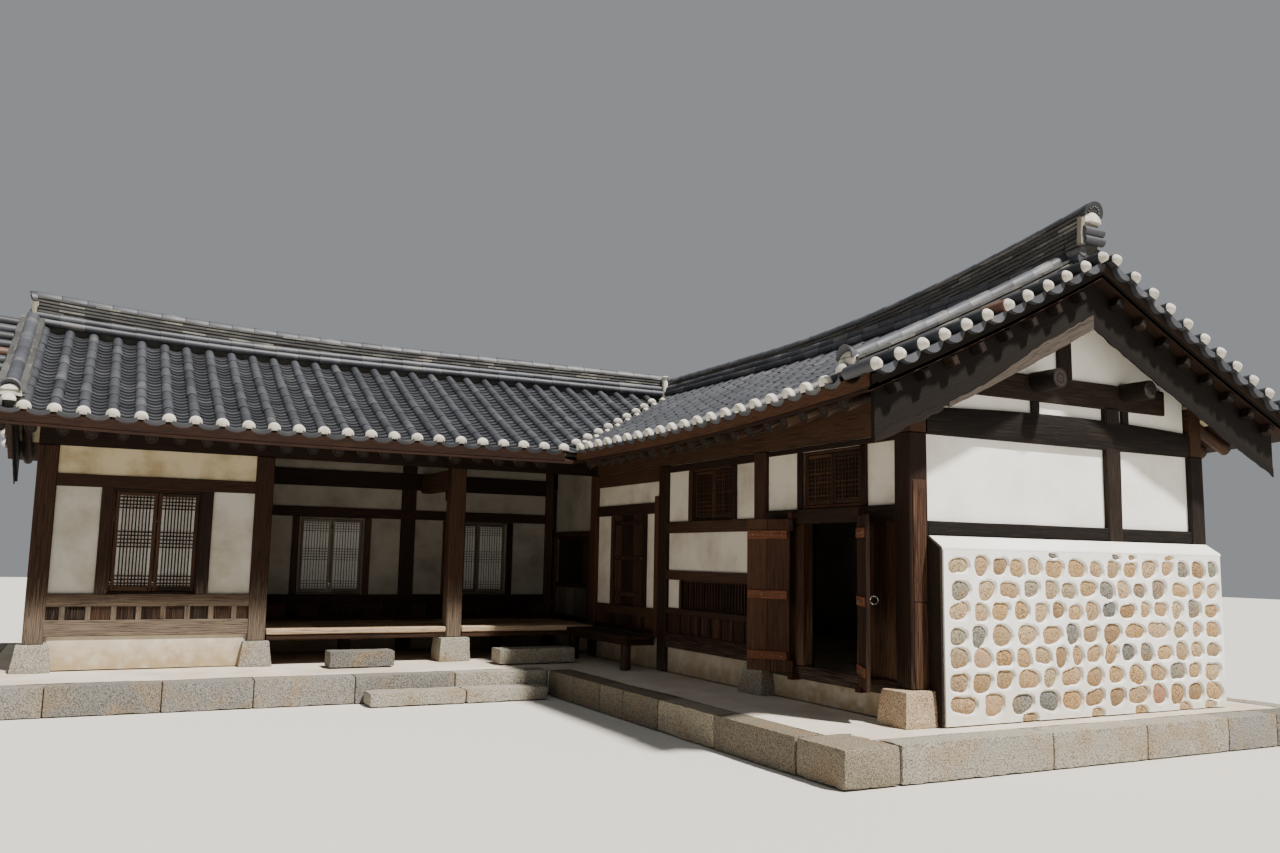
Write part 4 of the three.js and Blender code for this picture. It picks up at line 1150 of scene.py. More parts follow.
@dataclass(frozen=True)
class RidgeStack:
    """A ridge of rolls at its foot, thin flat tiles bedded in lime, and a row of caps."""

    rolls: int = 2
    roll_radius: float = 0.056
    roll_reach: float = 0.150
    leaf_half: float = 0.130
    leaf_thick: float = 0.026
    leaf_pitch: float = 0.049
    cap_radius: float = 0.095
    tile_long: float = 0.33
    bed_half: float = 0.112

    def add_to(self, mesh: PieceMesh, line: RidgeLine) -> None:
        """Lay the whole ridge along a line.

        Args:
            mesh: The piece that it joins.
            line: The ridge's line.
        """
        length, rings = line.places[-1], []
        for place in np.linspace(0.01, length - 0.01, 24):
            foot, top, _ = line.at(place)
            low, high, half = foot[2] - 0.10, top - self.cap_radius, self.bed_half
            rings.append(line.ring(place, ((-half, low), (half, low), (half, high), (-half, high))))
        # The bedding core is dark, standing for the shade between the flat tiles: painted shade.
        mesh.loft(rings, SHADED_JOINT_BEDDING)
        cuts = np.linspace(0, length, max(2, round(length / self.tile_long)) + 1)
        for near, far in zip(cuts, cuts[1:]):
            self.add_rolls(mesh, line, near, far)
            self.add_cap(mesh, line, near, far)
        for level in range(int(float((line.top - line.foot[:, 2]).max()) / self.leaf_pitch)):
            self.add_leaves(mesh, line, level)

    def add_rolls(self, mesh: PieceMesh, line: RidgeLine, near: float, far: float) -> None:
        """Lay rows of round tiles on edge along both feet.

        Args:
            mesh: The piece that it joins.
            line: The ridge's line.
            near: Where it starts.
            far: Where it ends.
        """
        for level in range(self.rolls):
            for hand in (-1, 1):
                out, high = self.roll_reach - 0.028 * level, 0.030 + level * ROLL_PITCH
                path = [foot + side * hand * out + (0, 0, high)
                        for foot, _, side in (line.at(near + 0.003), line.at(far))]
                radius = self.roll_radius + mesh.jitter(0.002)
                mesh.log(path, (radius, radius - 0.004), CAP_CLAY)

    def add_leaves(self, mesh: PieceMesh, line: RidgeLine, level: int) -> None:
        """Lay one course of flat tiles under the cap, each a little askew, as far as it clears the rolls.

        Args:
            mesh: The piece that it joins.
            line: The ridge's line.
            level: The course's number, from the cap down.
        """
        length, thick = line.places[-1], self.leaf_thick
        lowest = 0.030 + max(0, self.rolls - 1) * ROLL_PITCH + (self.roll_radius if self.rolls else -0.05)
        drop = self.cap_radius + level * self.leaf_pitch + thick
        cuts = np.arange(-self.tile_long * mesh.chance.random(), length + self.tile_long, self.tile_long)
        for near, far in zip(np.maximum(cuts, 0.0), np.minimum(cuts[1:], length)):
            foot, top, _ = line.at((near + far) / 2)
            if far - near < 0.07 or top - drop < foot[2] + lowest:
                continue
            push, tip = mesh.jitter(0.008), mesh.jitter(0.003)
            left, right = -self.leaf_half - push, self.leaf_half - push
            rings = []
            for place, lifted in ((near, tip), (far - 0.003, -tip)):
                z = line.at(place)[1] - drop + lifted
                rings.append(line.ring(place, (
                    (left, z), (right, z), (right, z + thick), (left, z + thick))))
            mesh.loft(rings, LEAF_CLAY)

    def add_cap(self, mesh: PieceMesh, line: RidgeLine, near: float, far: float) -> None:
        """Lay one half-round cap tile.

        Args:
            mesh: The piece that it joins.
            line: The ridge's line.
            near: Where it starts.
            far: Where it ends.
        """
        rings = []
        for place, share in ((near, 0.94), (near + 0.014, 1.0), (far, 0.93)):
            radius, middle = self.cap_radius * share, line.at(place)[1] - self.cap_radius
            rings.append(line.ring(place, [
                (math.cos(t) * radius, middle + math.sin(t) * radius * 0.99) for t in HALF_TURN]))
        # The cap's tone starts dark where it meets the cap before it: painted shade.
        shade = mesh.chance.random()
        mesh.loft(rings, CAP_CLAY, tone=(-1.2, shade, shade))


def main_ridge(axis: int, start: float, stop: float, top: Callable[[float], float]) -> RidgeLine:
    """Return the line of a wing's main ridge.

    Args:
        axis: The axis that it runs along.
        start: Where it starts.
        stop: Where it stops.
        top: The height of its top at a place.

    Returns:
        The line.
    """
    places = np.linspace(start, stop, 24)
    if axis == 0:
        x, y, side = places, np.full(24, RIDGE_Y), (0.0, 1.0, 0.0)
        z = left_roof(x, y)
    else:
        x, y, side = np.full(24, RIDGE_X), places, (1.0, 0.0, 0.0)
        z = right_roof(x, y)
    return RidgeLine(np.stack([x, y, z], 1), np.array([top(p) for p in places]), np.tile(side, (24, 1)))


def falling_ridge(slope: Slope, along: float, reach: float, high: float) -> RidgeLine:
    """Return the line of a ridge that comes down a slope beside its verge.

    Args:
        slope: The slope.
        along: Where it stands along the slope.
        reach: The share of the slope's run that it covers, from the top.
        high: The height of its top over the roof.

    Returns:
        The line, from the top.
    """
    ups = slope.ridge + (slope.eave - slope.ridge) * np.linspace(0.03, reach, 14)
    foot = slope.surface(np.full(14, along), ups)
    side = (1.0, 0.0, 0.0) if slope.axis == 0 else (0.0, 1.0, 0.0)
    return RidgeLine(foot, foot[:, 2] + high, np.tile(side, (14, 1)))


def hip_ridge(high: float) -> RidgeLine:
    """Return the line of the ridge over the outer corner.

    Args:
        high: The height of its top over the roof.

    Returns:
        The line.
    """
    share = np.linspace(0.02, 0.948, 14)
    x, y = RIDGE_X + RIGHT_RUN * share, RIDGE_Y + LEFT_RUN * share
    foot = np.stack([x, y, right_roof(x, y)], 1)
    side = np.array([-LEFT_RUN, RIGHT_RUN, 0]) / math.hypot(LEFT_RUN, RIGHT_RUN)
    return RidgeLine(foot, foot[:, 2] + high, np.tile(side, (14, 1)))


def half_shell(middle: Array, ahead: Array, side: Array, up: Numbers,
               turn: Array, stages: Sequence[Three]) -> list[Array]:
    """Return the half-round rings of a shell.

    Args:
        middle: Where the shell starts from.
        ahead: The direction that it grows in.
        side: Its sideways direction.
        up: Its upward direction.
        turn: The angles of a ring's points.
        stages: Each ring's place ahead, rise and radius.

    Returns:
        The rings.
    """
    return [middle + ahead * place + (0, 0, rise) + np.outer(np.cos(turn) * radius, side)
            + np.outer(np.sin(turn) * radius, up) for place, rise, radius in stages]


@dataclass
class Ridges:
    """Both wings' ridges with their end tiles and lime ends."""

    fall: RidgeStack = RidgeStack(
        rolls=0, leaf_half=0.155, leaf_pitch=0.044, cap_radius=0.084, bed_half=0.106)
    fall_high: float = 0.25

    def build(self) -> None:
        """Build the ridges of each wing as one piece."""
        left = PieceMesh(31)
        stack = RidgeStack()
        stack.add_to(left, main_ridge(0, LEFT_FALL_X, RIDGE_X - 0.12,
                                      lambda x: 5.33 + lift(-x, 2.5, 5.65, 0.25)))
        for slope in (FRONT_SLOPE, BACK_SLOPE):
            self.add_fall(left, falling_ridge(slope, LEFT_FALL_X, 0.955, self.fall_high))
        self.add_end(left, 0)
        left.build("ridge_tiles_left_wing", "roof_tile", "ridge_left_wing")

        right = PieceMesh(32)
        stack.add_to(right, main_ridge(1, RIDGE_END_Y + 0.04, RIDGE_Y + 0.08,
                                       lambda y: 5.26 + lift(-y, 1.5, 6.28, 0.6)))
        for slope in (COURT_SLOPE, RIGHT_SLOPE):
            self.add_fall(right, falling_ridge(slope, RIGHT_FALL_Y, 0.958, self.fall_high))
        self.add_fall(right, hip_ridge(self.fall_high))
        self.add_end(right, 1)
        self.add_junction(right)
        right.build("ridge_tiles_right_wing", "roof_tile", "ridge_right_wing")

    def add_fall(self, mesh: PieceMesh, line: RidgeLine) -> None:
        """Lay a falling ridge and close its foot with a ball of lime under a flared cap.

        Args:
            mesh: The piece that it joins.
            line: The ridge's line.
        """
        self.fall.add_to(mesh, line)
        end = line.places[-1]
        foot, top, side = line.at(end)
        ahead = (foot - line.at(end - 0.1)[0]) * (1, 1, 0)
        ahead /= norm(ahead)
        centre = np.array([foot[0], foot[1], top - self.fall.cap_radius])
        turn = np.linspace(-0.1, np.pi + 0.1, 13)
        for finish, stages in (
                (CAP_CLAY, ((-0.16, -0.006, 0.092), (-0.04, 0.0, 0.100), (0.045, 0.012, 0.125),
                            (0.052, 0.010, 0.112), (-0.02, 0.0, 0.080))),
                (BED_LIME, ((-0.05, -0.055, 0.128), (0.005, -0.060, 0.130), (0.030, -0.060, 0.105),
                            (0.040, -0.060, 0.05))),
                (SHADE_CLAY, ((-0.06, -0.105, 0.072), (0.075, -0.125, 0.072))),
                (PLUG_LIME, ((0.060, -0.124, 0.078), (0.080, -0.127, 0.080), (0.100, -0.130, 0.060),
                             (0.116, -0.132, 0.018)))):
            mesh.loft(half_shell(centre, ahead, side, (0, 0, 1), turn, stages), finish)

    def add_end(self, mesh: PieceMesh, axis: int) -> None:
        """Close a main ridge with two rolls, lime and a shield-shaped end tile.

        Args:
            mesh: The piece that it joins.
            axis: The axis that the ridge runs along.
        """
        out, side = (-np.eye(3)[axis], np.eye(3)[1 - axis])
        spot, top = (
            ((LEFT_FALL_X + 0.02, RIDGE_Y, 0), 5.58), ((RIDGE_X, RIDGE_END_Y + 0.05, 0), 5.86))[axis]
        for drop in (0.34, 0.44):
            middle = spot + out * 0.03 + (0, 0, top - drop)
            mesh.log([middle - side * 0.15, middle + side * 0.15], (0.052, 0.052), CAP_CLAY, sides=16)
        # The cheek's dark grey lime is painted shade.
        cheek = spot - side * 0.165 + out * 0.01
        mesh.log([cheek + side * push + (0, 0, top - drop)
                  for push, drop in ((0, 0.50), (0, 0.36), (0.02, 0.20))],
                 (0.040, 0.032, 0.040), SHADOW_GREY_LIME, sides=10, wobble=0.2)
        turn = np.linspace(-0.15, np.pi + 0.15, 17)
        bed = spot + np.array([0, 0, top - 0.225])
        mesh.loft(half_shell(bed, out, side * 1.1, (0, 0, 1), turn, (
            (-0.03, 0, 0.12), (0.045, 0, 0.115), (0.07, 0, 0.07))), PLUG_LIME)
        crown = spot + np.array([0, 0, top - 0.150])
        lean = np.array([0, 0, 1.0]) + out * 0.30
        lean /= norm(lean)
        mesh.loft(half_shell(crown, out, side, lean, turn, (
            (-0.02, 0, 0.135), (0.045, 0, 0.147), (0.060, 0, 0.140), (0.052, 0, 0.118), (0.050, 0, 0.03))),
            SHADE_CLAY)
        for t in np.pi * (np.arange(7) + 0.5) / 7:
            boss = crown + out * 0.052 + side * math.cos(t) * 0.078 + lean * math.sin(t) * 0.078
            mesh.log([boss, boss + out * 0.010, boss + out * 0.016], (0.016, 0.013, 0.004), SHADE_CLAY,
                     sides=8)

    def add_junction(self, mesh: PieceMesh) -> None:
        """Patch the valley's head with lime, where the two ridges meet.

        Args:
            mesh: The piece that it joins.
        """
        corner = np.array([RIDGE_X - 0.17, RIDGE_Y - 0.17, 0])
        rings = []
        for z, half in ((4.86, 0.07), (4.98, 0.055), (5.12, 0.06), (5.20, 0.05), (5.26, 0.07), (5.28, 0.04)):
            push = mesh.jitter(0.012)
            rings.append([corner + (half * math.cos(t) + push, half * math.sin(t) - push, z)
                          for t in np.arange(10) * np.pi / 5])
        mesh.loft(rings, PLUG_LIME)


@dataclass
class Verge:
    """A roof's gable edge: short round tiles that point outwards, with lime tips, lips and joists."""

    slopes: tuple[Slope, Slope]
    edge: float
    fall: float
    barge: float
    spacing: float = 0.28
    radius: float = 0.073
    rusty: int = 6

    def build(self, name: str, node: str, seed: int) -> None:
        """Build both slopes' verge as one piece.

        Args:
            name: The piece's name.
            node: The frame's node that it stands for.
            seed: The seed of its chances.
        """
        mesh = PieceMesh(seed)
        for slope in self.slopes:
            lowest, highest = slope.eave + slope.rise * 0.096, slope.ridge - slope.rise * 0.10
            ups = np.linspace(lowest, highest, round(abs(highest - lowest) / self.spacing) + 1)
            for index, up in enumerate(ups):
                # Two verge tiles in three take the darker clay that stands for shade: painted shade.
                finish = RUST_CLAY if index == self.rusty and slope is self.slopes[0] else (
                    SHADE_CLAY if index % 3 else ROOF_CLAY)
                self.add_round(mesh, slope, up + mesh.jitter(0.008), finish)
            for low, high in zip(ups, ups[1:]):
                self.add_lip(mesh, slope, (low + high) / 2)
            self.add_bed(mesh, slope)
            self.add_joists(mesh, slope)
        mesh.build(name, "roof_tile", node)

    def add_round(self, mesh: PieceMesh, slope: Slope, up: float, finish: Finish) -> None:
        """Lay one short round tile with a pointed lime tip.

        Args:
            mesh: The piece that it joins.
            slope: The roof's slope.
            up: Its place up the slope.
            finish: Its finish.
        """
        turn = np.linspace(-0.75, np.pi + 0.75, 14)
        tile = ((self.fall - 0.06, 1.0), (self.edge + 0.028, 1.0))
        tip = [(self.edge + out, share) for out, share in (
            (0.040, 0.99), (0.020, 0.90), (-0.008, 0.64), (-0.034, 0.20))]
        for stages, clay in ((tile, finish), (tip, PLUG_LIME)):
            mesh.loft([slope.hoop(along, up, self.radius * share, turn, high=0.02, endwise=True)
                       for along, share in stages], clay)

    def add_lip(self, mesh: PieceMesh, slope: Slope, up: float) -> None:
        """Lay a trough tile between two round ones; its edge hangs as a crescent.

        Args:
            mesh: The piece that it joins.
            slope: The roof's slope.
            up: Its place up the slope.
        """
        across = np.linspace(-1, 1, 9)
        bow, ups = 1 - across ** 2, up + across * self.spacing * 0.5
        mesh.loft([np.vstack([slope.over(along, ups, 0.012 - 0.034 * bow),
                              slope.over(along, ups, 0.002 - 0.104 * bow)[::-1]])
                   for along in (self.fall - 0.05, self.edge + 0.045)], SHADE_CLAY, cap_finish=CAP_CLAY)

    def add_bed(self, mesh: PieceMesh, slope: Slope) -> None:
        """Close the clay bed and the edge board under the tiles.

        Args:
            mesh: The piece that it joins.
            slope: The roof's slope.
        """
        for near, far, top, low in ((self.fall + 0.1, self.edge + 0.10, -0.06, -0.135),
                                    (self.barge, self.edge + 0.13, -0.135, -0.200)):
            mesh.loft([slope.ring((near, up, top), (far, up, top), (far, up, low), (near, up, low))
                       for up in np.linspace(slope.eave + slope.rise * 0.10, slope.ridge, 12)], BLACK_PINE)

    def add_joists(self, mesh: PieceMesh, slope: Slope) -> None:
        """Set short joists on the bargeboard, out to the verge.

        Args:
            mesh: The piece that it joins.
            slope: The roof's slope.
        """
        for up in np.arange(slope.eave + slope.rise * 0.34, slope.ridge - slope.rise * 0.1,
                            slope.rise * 0.36):
            rings = []
            for along, shrink in ((self.barge, 0.0), (self.edge + 0.17, 0.0), (self.edge + 0.155, 0.012)):
                base, _, climb, out = slope.frame(along, up)
                half, low, high = 0.045 - shrink, -0.305 + shrink, -0.196 - shrink
                rings.append([base + climb * a + out * b for a, b in (
                    (-half, low), (half, low), (half, high), (-half, high))])
            mesh.loft(rings, BLACK_PINE)


@dataclass
class Bargeboard:
    """Two broad boards that meet under the ridge, painted near black as painted shade from the verge; their
    lower edge is ragged and paler, partly bleached and partly painted sunlight.
    """

    slopes: tuple[Slope, Slope]
    front: float
    thick: float = 0.05
    drop: float = 0.2143
    high: float = 0.52
    inset: float = 0.26
    silver: float = 0.16
    silver_share: float = 0.70

    def build(self, name: str, node: str, seed: int) -> None:
        """Build the pair as one piece; the first slope's has a pale strip up to the ridge, partly
        rain-silvered and partly painted sunlight.

        Args:
            name: The piece's name.
            node: The frame's node that it stands for.
            seed: The seed of its chances.
        """
        mesh = PieceMesh(seed)
        bottom = self.drop + self.high
        for index, slope in enumerate(self.slopes):
            ups = np.linspace(slope.eave + slope.rise * self.inset, slope.ridge, 40)
            share = np.linspace(0, 1, 40)
            silvered = (share > 1 - self.silver_share) & (index == 0)
            strip = self.silver * np.clip((share - 1 + self.silver_share) / 0.45, 0.35, 1.0)
            keep = np.where(silvered, bottom - strip + 0.03, bottom - 0.055)
            # The board's near-black finish is painted shade from the verge.
            self.add_board(mesh, slope, ups, 0.0, [self.drop] * 40, keep, BARGE_PINE)
            # The ragged lower strips are paler: partly weathering, partly painted sunlight below the verge's
            # shadow.
            for chosen, wide, ragged, finish in ((silvered, strip, 0.008, RAGGED_PINE),
                                                 (~silvered, np.full(40, 0.085), 0.022, BLACK_PINE)):
                if chosen.sum() < 2:
                    continue
                tops = [bottom - high + mesh.jitter(ragged) for high in wide[chosen]]
                lows = [bottom - abs(mesh.jitter(ragged)) for _ in ups[chosen]]
                self.add_board(mesh, slope, ups[chosen], -0.006, tops, lows, finish)
        mesh.build(name, "timber", node)

    def add_board(self, mesh: PieceMesh, slope: Slope, ups: Array, proud: float,
                  tops: Numbers, lows: Numbers, finish: Finish) -> None:
        """Add one board along the slope between two depths below the roof.

        Args:
            mesh: The piece that it joins.
            slope: The roof's slope.
            ups: Places up the slope.
            proud: How far in it starts from the boards' face.
            tops: Its upper edge's depth below the roof at each place.
            lows: Its lower edge's depth.
            finish: The wood.
        """
        near, far = self.front + proud, self.front + (self.thick if proud == 0 else 0.012)
        rings = []
        for up, top, low in zip(ups, tops, lows):
            z = slope.surface(self.front + self.thick / 2, up)[2]
            rings.append([slope.point(along, up, z - drop)
                          for along, drop in ((near, low), (near, top), (far, top), (far, low))])
        mesh.loft(rings, finish)


# Carcass: platform, frames and walls

POST_TOP = 3.2197


def weathered_sunlit_foot(points: Array) -> Array:
    """Return how far an open front's timber is paled, most near the ground: partly bleached by sun and
    splashes, partly painted sunlight below the eaves' shadow line.
    """
    return np.clip((1.62 - points[:, 2]) / 0.55, 0.0, 0.80)


def splashed_foot(points: Array) -> Array:
    """Return how far splashes have bleached timber in the shade of the court."""
    return np.clip((1.15 - points[:, 2]) / 0.9, 0.0, 0.6)


@dataclass
class Gutter:
    """The valley between the wings, lined with trough tiles."""

    half: float = 0.16
    step: float = 0.16

    def build(self) -> None:
        """Build the valley as one piece."""
        mesh = PieceMesh(41)
        share = np.arange(0.02, 0.93, self.step / 4.4)
        x = -1.0 + RIGHT_RUN * share
        y = -1.25 + LEFT_RUN * share
        side = np.array([LEFT_RUN, -RIGHT_RUN, 0]) / math.hypot(LEFT_RUN, RIGHT_RUN)
        across = np.linspace(-1, 1, 7)
        rings, tones = [], []
        for low in range(len(share) - 1):
            tone = mesh.chance.random()
            for place, raised in ((low, 0.022), (low + 1, 0.002)):
                middle = np.array([x[place], y[place], float(left_roof(x[place], y[place]))])
                points = middle + np.outer(across * self.half, side)
                points[:, 2] += -0.060 + 0.052 * across ** 2 + raised
                rings.append(points)
                tones.append(tone)
        mesh.loft(rings, ROOF_CLAY, closed=False, tone=tones)
        mesh.build("valley_tiles", "roof_tile", "roof_right_wing")


@dataclass
class Platform:
    """The beaten-earth platform inside hewn granite edging, with foot stones and steps."""

    top: float = 0.36
    wide: float = 0.34
    left_low: Two = (-8.60, -1.60)
    right_low: Two = (-1.42, -8.12)
    high: Two = (5.42, 4.80)
    feet: tuple[Three, ...] = ((-7.74, 0.235, 0.80), (-5.08, 0.225, 0.80), (-2.29, 0.245, 0.92))
    front_joints: tuple[float, ...] = (-7.52, -6.30, -5.274, -4.05, -2.74)
    court_joints: tuple[float, ...] = (-2.45, -3.27, -3.918, -4.801, -6.006)
    corner: Two = (-0.784, -7.406)
    gable_joints: tuple[float, ...] = (1.065, 2.39, 3.667, 4.492)

    def build(self) -> None:
        """Build both halves and the steps."""
        left, right = PieceMesh(51), PieceMesh(52)
        (x0, y0), (x1, y1), (x2, y2) = self.left_low, self.right_low, self.high
        self.add_row(left, 0, y0, x0, self.front_joints, x1)
        self.add_row(left, 1, x0, y0 + self.wide, np.arange(-0.2, 4.3, 1.15), y2 - self.wide)
        self.add_row(left, 0, y2 - self.wide, x0, np.arange(-7.4, -1.8, 1.2), x1)
        self.add_fill(left, (x0 + self.wide, y0 + self.wide), (x1, y2 - self.wide))
        for x, half, taper in self.feet:
            self.add_foot(left, x, 0.12, half, taper)
        left.build("stones_left_platform", "granite", "platform_left_wing")

        self.add_row(right, 1, x1, self.corner[1], self.court_joints[::-1], y0, SUNLIT_GRANITE)
        cx, cy = self.corner
        right.stone((x1 + 0.004, y1 + 0.006, 0), (cx - 0.004, cy - 0.004, self.top), SUNLIT_GRANITE,
                    rough=0.010, ease=0.030, grid=0.07)
        self.add_row(right, 0, y1, self.corner[0], self.gable_joints, x2)
        self.add_row(right, 1, x2 - self.wide, y1 + self.wide, np.arange(-6.5, 4.0, 1.2), y2)
        self.add_row(right, 0, y2 - self.wide, x1, np.arange(-0.4, 4.8, 1.2), x2 - self.wide)
        self.add_fill(right, (x1 + self.wide, y1 + self.wide), (x2 - self.wide, y2 - self.wide))
        self.add_fill(right, (x1, y0), (x1 + self.wide, y2 - self.wide))
        self.add_foot(right, 0.12, -4.695, 0.265, 0.76)
        for low, high in (((-0.20, -7.50, 0.345), (0.30, -7.05, 0.69)),
                          ((4.20, -7.37, 0.345), (4.66, -7.06, 0.69))):
            right.stone(low, high, TAN_GRANITE, axis=2, taper=0.86, rough=0.012, ease=0.014, grid=0.06)
        right.build("stones_right_platform", "granite", "platform_right_wing")

        step = PieceMesh(53)
        for near, far in ((-3.95, -2.72), (-2.71, -1.58)):
            step.stone((near, -2.03, 0), (far, -1.601, 0.19), GRANITE, rough=0.010, ease=0.022)
        step.build("yard_step_stones", "granite", "yard_step")
        for name, low, high, seed in (("left", (-4.20, -0.65), (-3.32, -0.27), 54),
                                      ("right", (-1.85, -0.85), (-0.68, -0.45), 55)):
            step = PieceMesh(seed)
            step.stone((*low, 0.355), (*high, 0.58), GRANITE, rough=0.006, ease=0.014)
            step.build(f"hall_step_stone_{name}", "granite", f"hall_step_{name}")

    def add_row(self, mesh: PieceMesh, axis: int, at: float, first: float, joints: Numbers,
                last: float, finish: Finish = GRANITE) -> None:
        """Lay a row of edging blocks along an axis between joints.

        Args:
            mesh: The piece that it joins.
            axis: The axis that it runs along.
            at: Its place across that axis.
            first: Where it starts.
            joints: Where its blocks meet.
            last: Where it ends.
            finish: The stone.
        """
        cuts = [first, *joints, last]
        for near, far in zip(cuts, cuts[1:]):
            low, high = [0.0, 0.0, 0.0], [0.0, 0.0, self.top]
            low[axis], high[axis] = near + 0.004, far - 0.004
            low[1 - axis], high[1 - axis] = at, at + self.wide
            mesh.stone(low, high, finish, rough=0.009, ease=0.018, grid=0.07)

    def add_fill(self, mesh: PieceMesh, low: Numbers, high: Numbers) -> None:
        """Beat earth between the edging, a little hollow and uneven.

        Args:
            mesh: The piece that it joins.
            low: Its lowest corner in plan.
            high: Its highest corner in plan.
        """
        xs, ys = np.linspace(low[0], high[0], 24), np.linspace(low[1], high[1], 24)
        mesh.loft([[(x, y, self.top - 0.014 + 0.008 * noise.noise(Vector((x, y, 3.0)))) for y in ys]
                   for x in xs], EARTH, closed=False)
        for y in (low[1], high[1]):
            mesh.loft([[(x, y, 0.05), (x, y, self.top - 0.02)] for x in xs], EARTH, closed=False,
                      up=(0, -1, 0))

    def add_foot(self, mesh: PieceMesh, x: float, y: float, half: float, taper: float) -> None:
        """Set a tapered foot stone under a post."""
        mesh.stone((x - half, y - half, 0.345), (x + half, y + half, 0.69), GRANITE, axis=2,
                   taper=taper, rough=0.007, ease=0.014, grid=0.07)


@dataclass
class TimberBay:
    """A bay's visible timbers: posts, rails and uprights, with board stiles before boards below the sill.

    Every timber is given as its two ends along the wall and its two heights.
    """

    name: str
    node: str
    wall: Wall
    posts: tuple[Four, ...] = ()
    rails: tuple[Four, ...] = ()
    uprights: tuple[Four, ...] = ()
    boards: tuple[Four, ...] = ()
    stiles: tuple[float, ...] = ()
    stile_half: float = 0.035
    stile_high: Two = (0.9, 1.1)
    board_finish: Finish = RED_PINE
    board_wear: float = 0.3
    depth: Two = (0.015, 0.0597)
    post_depth: float = 0.24
    post_finish: Finish = PINE
    finish: Finish = PINE
    wear: Wear = splashed_foot
    seed: int = 60

    def gather(self) -> PieceMesh:
        """Return the bay's timbers, ready for more.

        Returns:
            The mesh.

        Returns:
            The mesh.
        """
        mesh = PieceMesh(self.seed)
        for a0, a1, z0, z1 in self.posts:
            mesh.timber(*self.wall.box((a0, a1), (z0, z1), (0, self.post_depth)), self.post_finish,
                        grain=2, bevel=0.012, wobble=0.006, wear=self.wear)
        for a0, a1, z0, z1 in (*self.rails, *self.uprights):
            flat = abs(a1 - a0) > z1 - z0
            near = self.depth[0] if flat else self.depth[0] + 0.004
            mesh.timber(*self.wall.box((a0, a1), (z0, z1), (near, self.depth[1])), self.finish,
                        bevel=0.008, wobble=0.004, wear=self.wear)
        for a0, a1, z0, z1 in self.boards:
            count = max(1, round(abs(a1 - a0) / 0.24))
            cuts = np.linspace(a0, a1, count + 1)
            for near, far in zip(cuts, cuts[1:]):
                mesh.timber(*self.wall.box((near, far), (z0, z1), (0.047, 0.0597)), self.board_finish,
                            grain=2, bevel=0.003, wear=self.board_wear)
        for middle in self.stiles:
            mesh.timber(*self.wall.box((middle - self.stile_half, middle + self.stile_half),
                                       self.stile_high, (self.depth[0] + 0.008, 0.0597)), self.finish,
                        bevel=0.005, wear=self.wear)
        return mesh

    def build(self) -> None:
        """Build the bay as one piece."""
        self.gather().build(self.name, "timber", self.node)


@dataclass
class LatticeWindow:
    """Leaves of thin crossing bars in a rebated frame, with paper or darkness behind them.

    Groups of level bars are given from the top down, as shares of the leaf's height and a count.
    """

    name: str
    node: str
    wall: Wall
    opening: Four
    leaves: int = 2
    bars: int = 9
    groups: tuple[tuple[float, float, int], ...] = ((0.0, 0.136, 4), (0.40, 0.584, 5), (0.864, 1.0, 4))
    jamb: float = 0.035
    stile: float = 0.042
    bar: float = 0.010
    backing: Finish = PAPER
    frame_finish: Finish = PINE
    seed: int = 80

    def build(self) -> None:
        """Build the window as one piece."""
        mesh = PieceMesh(self.seed)
        clear, jamb, deep = 0.003, self.jamb, (0.055, 0.118)
        a0, a1, z0, z1 = (edge + inwards for edge, inwards in zip(self.opening, (clear, -clear) * 2))
        self.wall.timbers(mesh, self.frame_finish, (
            ((a0, a1), (z1 - jamb, z1), deep), ((a0, a1), (z0, z0 + jamb), deep),
            ((a0, a0 + jamb), (z0, z1), deep), ((a1 - jamb, a1), (z0, z1), deep)), bevel=0.005)
        edges = np.linspace(a0 + jamb, a1 - jamb, self.leaves + 1)
        for left, right in zip(edges, edges[1:]):
            self.add_leaf(mesh, left + 0.004, right - 0.004, z0 + jamb + 0.004, z1 - jamb - 0.004)
        mesh.build(self.name, "window_paper", self.node)

    def add_leaf(self, mesh: PieceMesh, left: float, right: float, low: float, high: float) -> None:
        """Add one leaf: stiles, rails, bars and what is behind them.

        Args:
            mesh: The piece that it joins.
            left: Its left edge.
            right: Its right edge.
            low: Its foot.
            high: Its head.
        """
        edge, foot, half, deep = self.stile, self.stile * 1.2, self.bar / 2, (0.068, 0.096)
        self.wall.timbers(mesh, self.frame_finish, (
            ((left, left + edge), (low, high), deep), ((right - edge, right), (low, high), deep),
            ((left + edge, right - edge), (high - edge, high), deep),
            ((left + edge, right - edge), (low, low + foot), deep)), bevel=0.004)
        left, right, low, high = left + edge, right - edge, low + foot, high - edge
        for place in np.linspace(left, right, self.bars + 2)[1:-1]:
            mesh.bar(*self.wall.box((place - half, place + half), (low, high), (0.074, 0.088)),
                     self.frame_finish)
        for top, bottom, count in self.groups:
            # A group at either end of the leaf stands half a gap in from it.
            shift = 0.5 if top == 0.0 or bottom >= 1.0 else 0
            for step in range(count):
                share = top + (bottom - top) * (step + shift) / max(1, count - 0.5)
                place = high + (low - high) * min(share, 0.99)
                mesh.bar(*self.wall.box((left, right), (place - half, place + half), (0.076, 0.090)),
                         self.frame_finish)
        mesh.bar(*self.wall.box((left - 0.01, right + 0.01), (low - 0.01, high + 0.01), (0.092, 0.098)),
                 self.backing)


